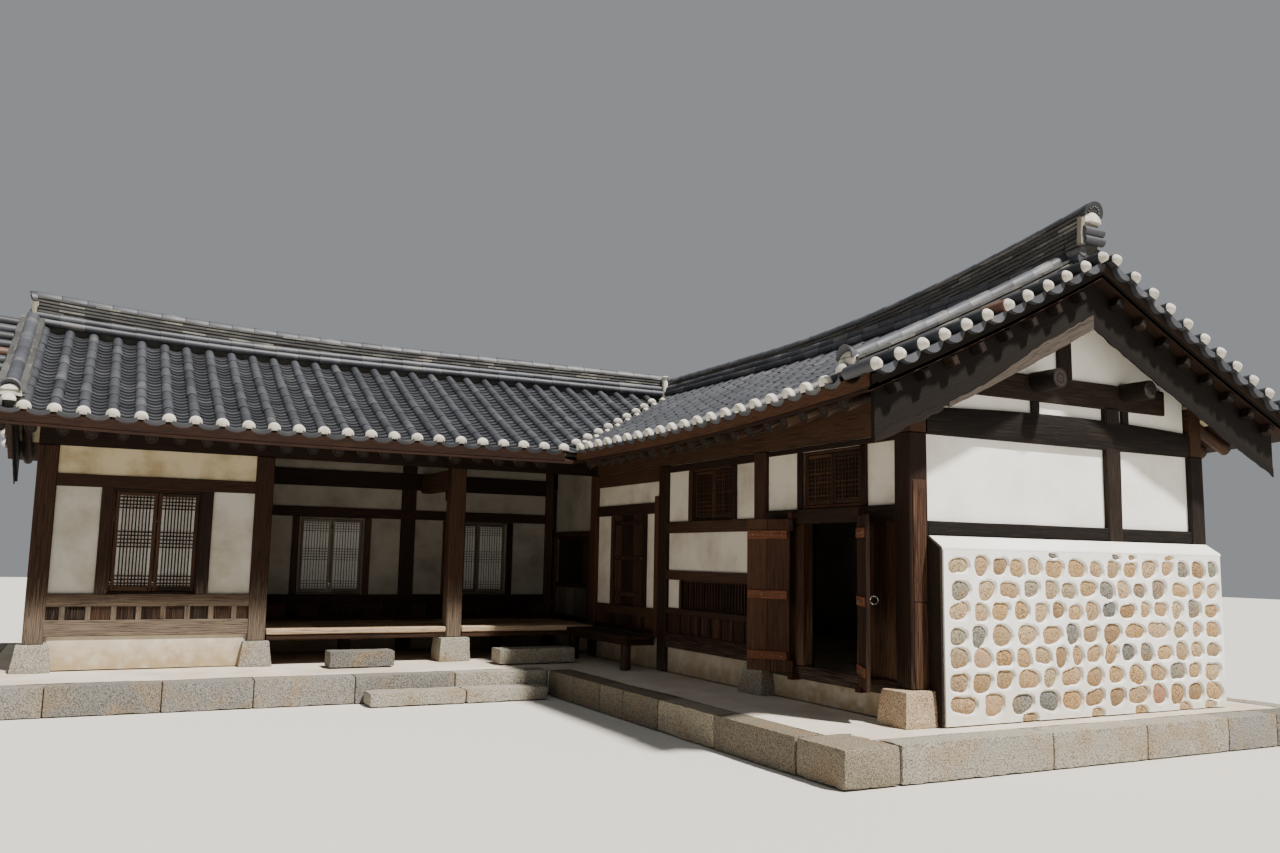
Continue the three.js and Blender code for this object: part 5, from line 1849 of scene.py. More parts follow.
@dataclass
class PlankWall:
    """Broad upright planks, each a little apart, paler at the foot: partly weathered, partly painted
    sunlight.
    """

    name: str
    node: str
    wall: Wall
    along: Two
    high: Two = (0.62, 2.42)
    deep: Two = (0.06, 0.18)
    plank: float = 0.22
    seed: int = 90

    def build(self) -> None:
        """Build the planks, and the darkness between them, as one piece."""
        mesh = PieceMesh(self.seed)
        front, back = self.deep
        cuts = np.linspace(*self.along, max(1, round(abs(self.along[1] - self.along[0]) / self.plank)) + 1)
        cuts[1:-1] += [mesh.jitter(self.plank * 0.15) for _ in cuts[1:-1]]
        for near, far in zip(cuts, cuts[1:]):
            mesh.timber(*self.wall.box((near + 0.002, far - 0.002), self.high,
                                       (front + mesh.jitter(0.003) + 0.003, back - 0.02)),
                        RED_PINE, grain=2, bevel=0.006, wear=weathered_sunlit_foot)
        # The dark board behind the planks' gaps stands for the shade behind them: painted shade.
        mesh.timber(*self.wall.box(self.along, self.high, (back - 0.03, back)), BLACK_PINE, grain=2)
        mesh.build(self.name, "timber", self.node)


@dataclass
class LeftBay:
    """The left wing's closed bay: frame, dado boards, a cream panel and a papered window."""

    wall: Wall = Wall(Facing.FRONT, 0.0)
    posts: Two = (-7.86, -5.20)

    def build(self) -> None:
        """Build the bay's frame and window."""
        mesh = TimberBay(
            "left_bay_timbers", "frame_left_bay", self.wall,
            posts=tuple((x, x + 0.24, 0.69, POST_TOP) for x in self.posts),
            rails=tuple((-7.632, -5.188, *z) for z in ((2.695, 2.86), (1.16, 1.325), (0.78, 0.99))),
            uprights=((-7.10, -6.95, 1.32, 2.71), (-5.88, -5.73, 1.32, 2.71)),
            boards=((-7.62, -5.20, 0.985, 1.165),), stiles=tuple(np.linspace(-7.44, -5.38, 8)),
            stile_high=(0.985, 1.165), wear=weathered_sunlit_foot, board_finish=PINE, board_wear=0.38,
            seed=61).gather()
        for along, tall, finish in (((-7.618, -5.202), (2.858, 3.218), CREAM_LIME),
                                    ((-7.585, -5.240), (0.361, 0.782), FOOT_LIME)):
            mesh.loft(self.wall.panel(along, tall, (0.050, 0.0597), 6), finish)
        mesh.build("left_bay_timbers", "timber", "frame_left_bay")
        LatticeWindow("left_bay_window", "window_left_bay", self.wall, (-6.965, -5.865, 1.31, 2.70),
                      stile=0.05, bar=0.017, seed=81).build()


@dataclass
class OpenHall:
    """The open hall: floor, free post, beams, the papered bay behind it and the door in its side."""

    face: float = 1.78

    def build(self) -> None:
        """Build the hall's pieces."""
        self.build_floor()
        self.build_post()
        self.build_recess()
        self.build_side_door()
        self.build_bench()

    def build_floor(self) -> None:
        """Build the plank floor on its beams."""
        mesh = PieceMesh(62)
        for near, far in ((-4.95, -2.41), (-2.17, -0.002)):
            mesh.timber((near, 0.02, 0.69), (far, 0.16, 0.80), PINE, bevel=0.01)
        for x in (-3.70, -1.30):
            mesh.timber((x - 0.06, 0.16, 0.66), (x + 0.06, 1.77, 0.78), PINE)
            mesh.timber((x - 0.08, 0.82, 0.362), (x + 0.08, 0.98, 0.66), PINE)
        for near, far in ((-4.955, -2.412), (-2.168, -0.003)):
            mesh.timber((near, 0.0, 0.765), (far, 0.145, 0.849), BOARD_PINE, grain=0, bevel=0.012,
                        wobble=0.006, wear=0.75)
        edges = np.linspace(-4.955, -0.003, 8)
        cuts = np.linspace(0.15, 1.775, 8)
        for near, far in zip(edges, edges[1:]):
            for low, high in zip(cuts, cuts[1:]):
                at_post = near < -2.17 and far > -2.41 and low < 0.245
                for x0, x1 in ((near, -2.412), (-2.168, far - 0.004)) if at_post else ((near, far - 0.004),):
                    mesh.timber((x0, low, 0.795), (x1, high - 0.003, 0.8475), BOARD_PINE, grain=0,
                                bevel=0.004, wobble=0.0015, wear=0.35)
        mesh.build("hall_floor_planks", "floor_boards", "hall_floor")

    def build_post(self) -> None:
        """Build the free post and the beam that it carries."""
        mesh = PieceMesh(63)
        mesh.timber((-2.41, 0.0, 0.69), (-2.17, 0.24, POST_TOP), PINE, grain=2, bevel=0.014, wobble=0.006,
                    wear=weathered_sunlit_foot)
        mesh.build("hall_post_timber", "timber", "hall_post")
        mesh = PieceMesh(64)
        mesh.timber((-2.39, 0.24, 2.90), (-2.19, 1.78, 3.20), PINE, bevel=0.02)
        mesh.timber((-2.35, 0.24, 2.72), (-2.23, 0.52, 2.90), PINE, bevel=0.02)
        mesh.build("hall_cross_timber", "timber", "hall_cross_beam")

    def build_recess(self) -> None:
        """Build the papered bay at the hall's back."""
        wall = Wall(Facing.FRONT, self.face)
        TimberBay(
            "recess_timbers", "frame_recess", wall,
            posts=((-5.20, -4.96, 0.36, 4.30), (-0.14, 0.0, 0.36, 4.30)),
            rails=((-5.06, -0.10, 2.95, 3.22), (-5.06, -0.10, 2.465, 2.62), (-5.06, -0.10, 1.10, 1.25),
                   (-5.06, -0.10, 0.73, 0.91)),
            uprights=((-4.40, -4.29, 1.25, 2.465), (-3.275, -3.17, 1.25, 2.465),
                      (-2.69, -2.45, 0.36, 4.30),
                      (-1.975, -1.865, 1.25, 2.465), (-0.845, -0.735, 1.25, 2.465)),
            boards=((-4.96, -2.69, 0.905, 1.105), (-2.45, -0.10, 0.905, 1.105)),
            stiles=(-4.3, -3.8, -3.3, -1.9, -1.4, -0.9), stile_half=0.04, stile_high=(0.905, 1.105),
            seed=65).build()
        for name, left, right, seed in (("left", -4.30, -3.265, 82), ("right", -1.875, -0.835, 83)):
            LatticeWindow(f"recess_window_{name}", f"window_recess_{name}", wall,
                          (left, right, 1.24, 2.47), bar=0.009, bars=8, frame_finish=SASH_PINE,
                          seed=seed).build()

    def build_side_door(self) -> None:
        """Build the planked door in the hall's right side."""
        wall, mesh = Wall(Facing.COURT, 0.0), PieceMesh(66)
        wall.timbers(mesh, RED_PINE, (
            ((0.24, 1.78), (2.25, 2.33), (0.015, 0.06)), ((0.24, 0.36), (0.85, 2.26), (0.018, 0.06)),
            ((1.67, 1.78), (0.85, 2.26), (0.018, 0.06)), ((0.36, 1.67), (1.40, 1.47), (0.015, 0.10)),
            ((0.36, 1.67), (0.852, 0.94), (0.015, 0.06)), ((0.34, 1.69), (2.20, 2.265), (0.04, 0.09))),
            bevel=0.006)
        cuts = np.linspace(0.34, 1.69, 5)
        for near, far in zip(cuts, cuts[1:]):
            mesh.timber(*wall.box((near, far - 0.003), (1.44, 2.26), (0.075, 0.118)), BLACK_PINE, grain=2)
            mesh.timber(*wall.box((near, far - 0.003), (0.90, 1.44), (0.075, 0.118)), SILVER_PINE, grain=2)
        mesh.build("hall_side_door_boards", "timber", "hall_side_door")

    def build_bench(self) -> None:
        """Build the narrow bench along the court wall."""
        mesh = PieceMesh(67)
        for near, far in ((-0.475, -0.345), (-0.343, -0.175), (-0.173, -0.002)):
            mesh.timber((near, -2.08, 0.772), (far, -0.022, 0.82), PINE, grain=1, bevel=0.006, wear=0.3)
        mesh.timber((-0.45, -2.06, 0.69), (-0.37, -0.04, 0.772), PINE)
        for y in (-2.06, -0.16):
            mesh.timber((-0.42, y, 0.69), (-0.002, y + 0.10, 0.772), PINE)
        for y in (-1.96, -0.16):
            mesh.log([(-0.40, y, z) for z in (0.355, 0.52, 0.70)], (0.078, 0.072, 0.075), PINE,
                     sides=14, wobble=0.05, wear=0.4)
        mesh.build("side_bench_boards", "floor_boards", "side_bench")


@dataclass
class CourtFront:
    """The right wing's court facade, bay by bay, with the double door's surround."""

    wall: Wall = Wall(Facing.COURT, 0.0)

    def build(self) -> None:
        """Build the three bays."""
        self.build_near_hall()
        self.build_middle()
        self.build_door_bay()

    def build_near_hall(self) -> None:
        """Build the bay beside the hall, with its plank door."""
        mesh = TimberBay(
            "near_hall_timbers", "frame_court_near_hall", self.wall,
            posts=((0.0, 0.24, 0.36, POST_TOP),),
            rails=((-2.11, 0.0, 3.01, 3.21), (-2.11, 0.0, 2.55, 2.71), (-2.11, 0.0, 1.06, 1.20),
                   (-2.11, 0.0, 0.82, 0.90)),
            uprights=((-0.60, -0.51, 1.20, 2.55), (-1.69, -1.59, 1.20, 2.55)),
            boards=((-2.11, 0.0, 0.89, 1.07),), stiles=(-0.4, -0.8, -1.2, -1.6), stile_high=(0.895, 1.065),
            post_finish=RED_PINE, seed=68).gather()
        mesh.timber(*self.wall.box((-2.108, -1.99), (0.80, 2.80), (0.002, 0.0597)), RED_PINE, grain=2,
                    wear=0.2, tone=0.9)
        mesh.build("near_hall_timbers", "timber", "frame_court_near_hall")
        mesh = PieceMesh(69)
        cuts = np.linspace(-1.595, -0.595, 6)
        self.wall.timbers(mesh, PINE, [((near + 0.001, far - 0.002), (1.195, 2.555), (0.072, 0.113))
                                       for near, far in zip(cuts, cuts[1:])], grain=2, bevel=0.004)
        for z in (1.33, 1.87, 2.40):
            mesh.timber(*self.wall.box((-1.58, -0.61), (z, z + 0.07), (0.055, 0.078)), PINE, bevel=0.005)
            for step in range(5):
                mesh.log([self.wall.corner(-1.49 + 0.2 * step, z + 0.035, deep)
                          for deep in (0.060, 0.052, 0.048)], (0.011, 0.010, 0.003), IRON, sides=8)
        mesh.bar(*self.wall.box((-0.599, -0.588), (1.2, 2.55), (0.0597, 0.0715)), PINE)
        mesh.build("plank_door_boards", "timber", "plank_door")

    def build_middle(self) -> None:
        """Build the middle bay, with its latticed and slatted windows."""
        TimberBay(
            "middle_bay_timbers", "frame_court_middle", self.wall,
            posts=((-2.35, -2.11, 0.36, POST_TOP),),
            rails=((-4.57, -2.338, 3.11, 3.21), (-4.57, -2.338, 2.26, 2.42), (-4.57, -2.338, 1.62, 1.75),
                   (-4.57, -2.338, 1.15, 1.235), (-4.57, -2.338, 0.69, 0.90)),
            uprights=((-3.03, -2.93, 2.42, 3.11), (-4.12, -4.02, 2.42, 3.11), (-2.75, -2.70, 1.235, 1.62)),
            boards=((-4.57, -2.35, 0.895, 1.155),), stiles=tuple(np.linspace(-2.7, -4.3, 7)),
            stile_high=(0.895, 1.155), seed=70).build()
        self.build_window("middle_window", "window_court_middle", (-4.04, -3.01, 2.41, 3.12), 84)
        mesh = PieceMesh(71)
        self.wall.timbers(mesh, PINE, [((-4.515, -2.745), high, (0.062, 0.112))
                                       for high in ((1.23, 1.255), (1.60, 1.625))], bevel=0.004)
        self.wall.timbers(mesh, PINE, [((place - 0.014, place + 0.014), (1.25, 1.605), (0.070, 0.098))
                                       for place in np.linspace(-4.49, -2.78, 25)],
                          bevel=0.003, wobble=0.001)
        # The black bar behind the slats stands for the dark room: painted shade.
        mesh.bar(*self.wall.box((-4.51, -2.75), (1.24, 1.615), (0.10, 0.108)), BLACK_PINE)
        mesh.bar(*self.wall.box((-2.7495, -2.737), (1.236, 1.62), (0.0597, 0.109)), PINE)
        mesh.build("slat_window_bars", "timber", "slat_window")

    def build_door_bay(self) -> None:
        """Build the bay of the double door: posts, jambs, hinge sockets, window and planks."""
        mesh = TimberBay(
            "door_bay_timbers", "frame_court_door", self.wall,
            posts=((-4.82, -4.57, 0.69, POST_TOP), (-7.37, -7.13, 0.69, POST_TOP)),
            rails=((-7.142, -4.808, 3.15, 3.21), (-7.142, -4.808, 0.60, 0.75)),
            uprights=((-5.54, -5.44, 2.50, 3.15), (-6.67, -6.57, 2.50, 3.15)), seed=72).gather()
        mesh.timber(*self.wall.box((-7.142, -4.808), (2.33, 2.50), (0.0, 0.0597)), PINE, bevel=0.008)
        self.wall.timbers(mesh, RED_PINE, [(along, (0.75, 2.33), (0.012, 0.0597)) for along in (
            (-5.58, -5.44), (-6.66, -6.52))], bevel=0.006, wear=weathered_sunlit_foot)
        for low, high in ((0.70, 1.53), (1.538, 2.74)):
            mesh.timber((0.035, -7.379, low), (0.205, -7.366, high), RED_PINE, grain=2, bevel=0.004,
                        wobble=0.003, tone=0.6, wear=0.42)
        for hinge in (-5.45, -6.64):
            for low, high in ((0.590, 0.654), (2.396, 2.466)):
                self.add_socket(mesh, hinge, low, high)
        mesh.build("door_bay_timbers", "timber", "frame_court_door")
        self.build_window("over_door_window", "window_over_door", (-6.58, -5.53, 2.50, 3.15), 85)
        PlankWall("planks_left_of_door", "plank_wall_left_of_door", self.wall, (-5.56, -4.82),
                  seed=91).build()
        PlankWall("planks_right_of_door", "plank_wall_right_of_door", self.wall, (-7.13, -6.54),
                  seed=92).build()

    def build_window(self, name: str, node: str, opening: Four, seed: int) -> None:
        """Build an upper window with bars all the way up and darkness behind them."""
        # The black backing behind the bars stands for the dark room: painted shade.
        LatticeWindow(name, node, self.wall, opening, bars=6, groups=((0.0, 1.0, 10),), bar=0.013,
                      backing=BLACK_PINE, frame_finish=LATTICE_PINE, seed=seed).build()

    def add_socket(self, mesh: PieceMesh, hinge: float, low: float, high: float) -> None:
        """Add a wooden hinge socket, hollow where the leaf's pin turns.

        Args:
            mesh: The piece that it joins.
            hinge: The pin's place along the wall.
            low: Its foot.
            high: Its head.
        """
        x, bore, half = -0.045, 0.019, 0.040
        turn = np.arange(16) * 2 * np.pi / 16
        hole = np.stack([x + bore * np.cos(turn), hinge + bore * np.sin(turn)], 1)
        square = np.stack([np.cos(turn), np.sin(turn)], 1)
        square /= np.abs(square).max(1, keepdims=True)
        outer = square * half
        outer[:, 0] = np.where(outer[:, 0] > 0, outer[:, 0] * 2.45, outer[:, 0] * 0.9) + x
        outer[:, 1] += hinge
        rings = [np.column_stack([points, np.full(16, z)]) for points, z in (
            (hole, low), (outer, low), (outer, high), (hole, high), (hole, low))]
        mesh.loft(rings, RED_PINE, caps=False)


@dataclass
class DoorLeaf:
    """One leaf of the double door: two planks, three ledges, pins, nails and an iron ring."""

    name: str
    hand: float
    hinge: Two
    turned: float
    seed: int
    low: float = 0.66
    high: float = 2.39
    near: float = 0.025
    far: float = 0.582
    half: float = 0.0225
    ring_out: bool = False

    def build(self) -> None:
        """Build the leaf at its place in the rest pose."""
        mesh = PieceMesh(self.seed)
        middle = self.near + (self.far - self.near) * 0.52
        for y0, y1 in ((self.near, middle - 0.0015), (middle + 0.0015, self.far)):
            mesh.timber((-self.half, y0, self.low), (self.half, y1, self.high), RED_PINE, grain=2,
                        bevel=0.005, wear=lambda p: 0.55 * np.clip((1.5 - p[:, 2]) / 0.9, 0, 1))
        for z in (0.79, 1.475, 2.16):
            mesh.timber((0.0175, self.near + 0.02, z), (0.0445, self.far - 0.02, z + 0.10), LEDGE_PINE,
                        bevel=0.006, tone=0.95)
            for y in np.linspace(self.near + 0.09, self.far - 0.09, 4):
                for xs in ((0.043, 0.048, 0.051), (-0.021, -0.027, -0.030)):
                    mesh.log([(x, y, z + 0.05) for x in xs], (0.011, 0.009, 0.003), IRON, sides=8)
        for z0, z1 in ((0.598, 0.70), (2.35, 2.462)):
            mesh.log([(0, 0, z0), (0, 0, z1)], (0.013, 0.013), RED_PINE)
        for z0, z1 in ((0.662, 0.80), (2.25, 2.388)):
            mesh.timber((-0.02, -0.018, z0), (0.02, 0.04, z1), RED_PINE, grain=2)
        self.add_ring(mesh)
        for index, points in enumerate(mesh.points):
            points[:, 1] *= self.hand
            turn = Matrix.Rotation(math.radians(self.turned), 3, "Z")
            mesh.points[index] = points @ np.array(turn).T + (*self.hinge, 0)
        if self.hand < 0:
            mesh.faces = [face[::-1] for face in mesh.faces]
            ends = np.cumsum([len(face) for face in mesh.faces])
            corners = np.vstack(mesh.corners)
            mesh.corners = [part[::-1] for part in np.split(corners, ends[:-1])]
        mesh.build(f"{self.name}_leaf_boards", "timber", f"door_leaf_{self.name}", body=f"{self.name}_leaf")

    def add_ring(self, mesh: PieceMesh) -> None:
        """Hang an iron ring on a round plate near the free edge.

        Args:
            mesh: The piece that it joins.
        """
        y, z, radius, rod = self.far - 0.085, (self.low + self.high) / 2 + 0.02, 0.040, 0.0055
        mesh.log([(x, y, z) for x in (-0.020, -0.027, -0.030)], (0.036, 0.034, 0.010), IRON, sides=20)
        mesh.log([(x, y, z + 0.004) for x in (-0.024, -0.040)], (0.008, 0.007), IRON, sides=10)
        across, middle = ((1.0, 0.0), (-0.070, y, z - 0.004)) if self.ring_out else (
            (0.0, 1.0), (-0.037, y, z - 0.038))
        square = np.array([across[1], across[0], 0])
        rings = []
        for t in np.linspace(0, 2 * np.pi, 25):
            spoke = np.array([across[0] * math.cos(t), across[1] * math.cos(t), math.sin(t)])
            rings.append([middle + spoke * (radius + rod * math.cos(s)) + square * rod * math.sin(s)
                          for s in np.arange(8) * np.pi / 4])
        mesh.loft(rings, IRON, caps=False)


@dataclass
class GableFront:
    """The right wing's gable: timbers, purlin ends, curved beam and a stone wall under lime coping."""

    wall: Wall = Wall(Facing.FRONT, -7.37)
    rows: tuple[int, ...] = (15, 14, 15, 13, 15, 13, 12)
    row_pitch: float = 0.225

    def build(self) -> None:
        """Build the gable's timbers and its stone wall."""
        mesh = TimberBay(
            "gable_timbers", "frame_gable", self.wall,
            posts=((4.28, 4.52, 0.69, POST_TOP), (2.86, 3.10, 0.36, 3.69)),
            rails=((0.24, 4.29, 2.19, 2.34), (0.70, 3.90, 3.67, 3.96)),
            uprights=((2.16, 2.38, 3.96, 4.56), (1.74, 1.86, 3.50, 3.68), (3.16, 3.28, 3.50, 3.68)),
            finish=BLACK_PINE, post_finish=BLACK_PINE, wear=0.36, seed=73).gather()
        rings = []
        for x in np.linspace(0.24, 4.28, 22):
            top = 3.54 - 0.06 * ((x - RIDGE_X) / 2.03) ** 2
            rings.append([self.wall.corner(x, z, deep) for z, deep in (
                (3.21, 0.0597), (3.21, 0.012), (3.235, 0.0), (top - 0.03, 0.0), (top, 0.012),
                (top, 0.0597))])
        mesh.loft(rings, BLACK_PINE, wear=0.36)
        for x in (1.80, 3.22):
            path = [(x, -7.312, 3.88), (x, -7.50, 3.878), (x, -7.683, 3.88)]
            mesh.log(path, (0.108, 0.110, 0.106), BLACK_PINE, sides=20, wobble=0.02, cap_finish=LOG_END)
        mesh.build("gable_timbers", "timber", "frame_gable")
        self.build_stones()

    def build_stones(self) -> None:
        """Build the wall of sunk stones, its lime coping and the board at its end."""
        mesh = PieceMesh(74)
        low, high, left, right, face = 0.36, 2.08, 0.243, 4.50, -7.548
        stones = self.scatter(mesh, low, high, left, right)
        core = [(face + 0.046, low), (face + 0.046, 2.050), (face, 2.055), (face, high - 0.01),
                (face + 0.008, high + 0.004), (-7.372, 2.188), (-7.372, low)]
        mesh.loft([[(x, y, z) for y, z in core] for x in np.linspace(left, right, 12)], GABLE_LIME)
        xs = np.linspace(left + 0.002, right - 0.002, 300)
        zs = np.linspace(low, 2.057, 120)
        sunk = np.zeros((300, 120))
        for stone in stones:
            sunk = np.maximum(sunk, stone.sunk(xs[:, None], zs[None, :]))
        deep = face + 0.036 * sunk
        deep[[0, -1], :] = face + 0.046
        grid = np.stack([*np.broadcast_arrays(xs[:, None], deep, zs[None, :])], -1)
        mesh.loft(grid, GABLE_LIME, closed=False, up=(0, -1, 0))
        for stone in stones:
            mesh.loft(stone.rings(mesh, face, low), FIELD_STONE)
        board = [(face + 0.004, low), (face + 0.004, high - 0.01), (-7.372, 2.185), (-7.372, low)]
        mesh.loft([[(x, y, z) for y, z in board] for x in (0.213, 0.241)], BLACK_PINE)
        mesh.build("gable_stones", "studded_stone_wall", "stone_wall_gable")

    def scatter(self, mesh: PieceMesh, low: float, high: float, left: float,
                right: float) -> list["SunkStone"]:
        """Return the stones, row by row from the top, with small ones over the first row.

        Args:
            mesh: The piece, for its chances.
            low: The wall's foot.
            high: The wall's head.
            left: The wall's left end.
            right: The wall's right end.

        Returns:
            The stones.
        """
        stones = []
        for row, count in enumerate(self.rows):
            z = high - 0.19 - row * self.row_pitch
            steps = np.array([1 + mesh.jitter(0.22) for _ in range(count)])
            edges = left + 0.06 + (right - left - 0.10) * np.r_[0, np.cumsum(steps)] / steps.sum()
            for near, far in zip(edges, edges[1:]):
                wide = (far - near) * (0.80 + mesh.jitter(0.08))
                tall = min(0.172 + 0.004 * row + mesh.jitter(0.026), wide * 1.3)
                stones.append(SunkStone((near + far) / 2, z + mesh.jitter(0.014), wide, tall,
                                        2.6 + mesh.jitter(0.6), mesh.jitter(0.2), mesh.chance.random() * 6))
        for share in (0.36, 0.585, 0.645, 0.79):
            stones.append(SunkStone(left + share * (right - left), high - 0.065, 0.13, 0.055, 2.2,
                                    mesh.jitter(0.2), mesh.chance.random() * 6))
        for share in (0.27, 0.50, 0.66, 0.83, 0.93):
            stones.append(SunkStone(left + share * (right - left), low + 0.015, 0.20, 0.13, 2.4, 0.0,
                                    mesh.chance.random() * 6))
        return stones


@dataclass(frozen=True)
class SunkStone:
    """A field stone that lime laps round: its face lies a little below the lime's."""

    x: float
    z: float
    wide: float
    tall: float
    square: float
    tilt: float
    phase: float

    def reach(self, angle: Array) -> Array:
        """Return the outline's distance from the middle at an angle.

        Args:
            angle: Angles round the middle.

        Returns:
            The distances.
        """
        turned = angle - self.tilt
        across, over = np.abs(np.cos(turned)) * 2 / self.wide, np.abs(np.sin(turned)) * 2 / self.tall
        round_box = (across ** self.square + over ** self.square) ** (-1 / self.square)
        return round_box * (
            1 + 0.08 * np.sin(2 * turned + self.phase) + 0.05 * np.sin(3 * turned - self.phase))

    def sunk(self, x: Array, z: Array) -> Array:
        """Return 1 where the lime is cut back for the stone and 0 where it isn't.

        Args:
            x: Places along the wall.
            z: Heights.

        Returns:
            The shares.
        """
        dx, dz = x - self.x, z - self.z
        away = np.hypot(dx, dz) - self.reach(np.arctan2(dz, dx))
        return np.clip((0.008 - away) / 0.014, 0.0, 1.0)

    def rings(self, mesh: PieceMesh, face: float, low: float) -> list:
        """Return the stone's rings, from its buried edge to the middle of its face.

        Args:
            mesh: The piece, for its chances.
            face: The lime's face.
            low: The wall's foot.

        Returns:
            The rings.
        """
        angle = np.arange(20) * np.pi / 10
        reach = self.reach(angle)
        rings = []
        for share, deep in ((1.05, 0.040), (1.0, 0.032), (0.88, 0.022), (0.6, 0.015), (0.25, 0.013)):
            rough = np.array([mesh.jitter(0.003) for _ in angle])
            z = np.maximum(self.z + np.sin(angle) * reach * share, low)
            rings.append(np.stack([self.x + np.cos(angle) * reach * share, face + deep + rough, z], 1))
        return rings


HIDDEN_RAILS = ((3.06, 3.215), (2.40, 2.54), (1.16, 1.32), (0.70, 0.90))


@dataclass
class HiddenWall:
    """A wall that the photo hides: plaster between posts and rails, with a papered window."""

    name: str
    node: str
    wall: Wall
    slab: Two
    slab_deep: Two
    posts: tuple[float, ...]
    rail_ends: Two
    windows: tuple[tuple[float, float, str], ...]
    low: float
    seed: int

    def build(self) -> None:
        """Build the wall as one piece, and its windows."""
        mesh = PieceMesh(self.seed)
        near, far = self.slab
        cuts = sorted([near, far, *(edge for a, b, _ in self.windows for edge in (a, b))])
        for a, b in zip(cuts, cuts[1:]):
            holes = [w for w in self.windows if abs(w[0] - a) < 1e-6]
            for z0, z1 in (((self.low, 1.32), (2.40, 3.30)) if holes else ((self.low, 3.30),)):
                mesh.loft(self.wall.panel((a, b), (z0, z1), self.slab_deep, 4), SHADED_WALL_LIME)
        for place in self.posts:
            mesh.timber(*self.wall.box((place, place + 0.24), (self.low, POST_TOP), (0, 0.24)), PINE,
                        grain=2, bevel=0.012, wobble=0.006, wear=weathered_sunlit_foot)
        stops = sorted([*(edge for place in self.posts for edge in (place, place + 0.24)), *self.rail_ends])
        for a, b in zip(stops, stops[1:]):
            if b - a >= 0.25:
                self.wall.timbers(mesh, PINE, [((a, b), high, (0.015, 0.07)) for high in HIDDEN_RAILS],
                                  bevel=0.008, wear=weathered_sunlit_foot)
        for a, b, _ in self.windows:
            for edge, side in ((a, -1), (b, 1)):
                mesh.timber(*self.wall.box((edge, edge + side * 0.11), (1.32, 2.40), (0.019, 0.07)), PINE,
                            bevel=0.008)
        mesh.build(self.name, "lime_plaster", self.node)
        for index, (a, b, node) in enumerate(self.windows):
            LatticeWindow(f"papered_{node}", node, self.wall, (a, b, 1.32, 2.40),
                          seed=self.seed + 1 + index).build()


@dataclass
class LeftEnd:
    """The left wing's end wall: plaster up to the roof, with posts and rails."""

    wall: Wall = Wall(Facing.COURT, -7.86)

    def build(self) -> None:
        """Build the end wall as one piece."""
        mesh = PieceMesh(76)
        rings = []
        for y in np.linspace(0.24, 3.66, 15):
            top = float(left_roof(np.float64(-7.74), np.float64(y))) - 0.235
            rings.append([(-7.80, y, 0.36), (-7.68, y, 0.36), (-7.68, y, top), (-7.80, y, top)])
        mesh.loft(rings, SHADED_WALL_LIME)
        for near, far, top, wobble in ((1.83, 2.07, 3.70, 0.006), (3.66, 3.90, POST_TOP, 0.0025)):
            mesh.timber((-7.86, near, 0.362), (-7.62, far, top), PINE, grain=2, bevel=0.012,
                        wobble=wobble, wear=weathered_sunlit_foot)
        for a, b in ((0.24, 1.83), (2.07, 3.66)):
            self.wall.timbers(mesh, PINE, [((a, b), high, (0.015, 0.07)) for high in HIDDEN_RAILS],
                              bevel=0.008, wear=weathered_sunlit_foot)
        mesh.build("left_end_plaster", "lime_plaster", "left_end_wall")


# Studio

@dataclass(frozen=True)
class PaleSweep(Finish):
    """The studio's floor: matt pale card."""

    def paint(self, add: AddNode) -> dict:
        """Leave it plain."""
        return {"Base Color": "#cdc9c0", "Roughness": 0.95}


@dataclass
class Studio:
    """A pale floor, a broad sun from the front right and an even sky."""

    sun_from: Three = (0.50, -1.0, 1.80)
    sun: float = 9.3
    sky: float = 0.30

    def build(self) -> None:
        """Build the floor and the lights."""
        mesh = bpy.data.meshes.new("studio_floor")
        reach = 60.0
        mesh.from_pydata([(x * reach, y * reach, 0) for x, y in ((-1, -1), (1, -1), (1, 1), (-1, 1))], [],
                         [(0, 1, 2, 3)])
        mesh.materials.append(PaleSweep("pale_card").material())
        floor = bpy.data.objects.new("studio_floor", mesh)
        light = bpy.data.lights.new("broad_sun", "SUN")
        light.energy, light.angle, light.color = self.sun, math.radians(4), (1.0, 0.965, 0.91)
        key = bpy.data.objects.new("broad_sun", light)
        key.rotation_euler = Vector(self.sun_from).to_track_quat("Z", "Y").to_euler()
        for made in (floor, key):
            bpy.context.scene.collection.objects.link(made)
        world = bpy.data.worlds.new("even_sky")
        world.use_nodes = True
        sky = world.node_tree.nodes["Background"]
        sky.inputs["Color"].default_value = (0.92, 0.955, 1.0, 1.0)
        sky.inputs["Strength"].default_value = self.sky
        bpy.context.scene.world = world


@dataclass
class PhotoCamera:
    """The photo's camera, as the fitted pinhole has it."""

    place: Three = (-7.10, -15.37, 1.92)
    yaw: float = 27.09
    pitch: float = 7.11
    roll: float = 1.07
    lens: float = 29.49

    def build(self) -> None:
        """Place the camera and make it the scene's."""
        yaw, pitch, roll = (math.radians(a) for a in (self.yaw, self.pitch, self.roll))
        ahead = Vector((math.sin(yaw) * math.cos(pitch), math.cos(yaw) * math.cos(pitch), math.sin(pitch)))
        right = Vector((math.cos(yaw), -math.sin(yaw), 0))
        up = right.cross(ahead)
        x = right * math.cos(roll) + up * math.sin(roll)
        y = up * math.cos(roll) - right * math.sin(roll)
        turn = Matrix((x, y, -ahead)).transposed().to_4x4()
        lens = bpy.data.cameras.new("photo_camera")
        lens.lens, lens.sensor_width, lens.clip_end = self.lens, 36.0, 200.0
        camera = bpy.data.objects.new("photo_camera", lens)
        camera.matrix_world = Matrix.Translation(self.place) @ turn
        bpy.context.scene.collection.objects.link(camera)
        bpy.context.scene.camera = camera


# The whole house

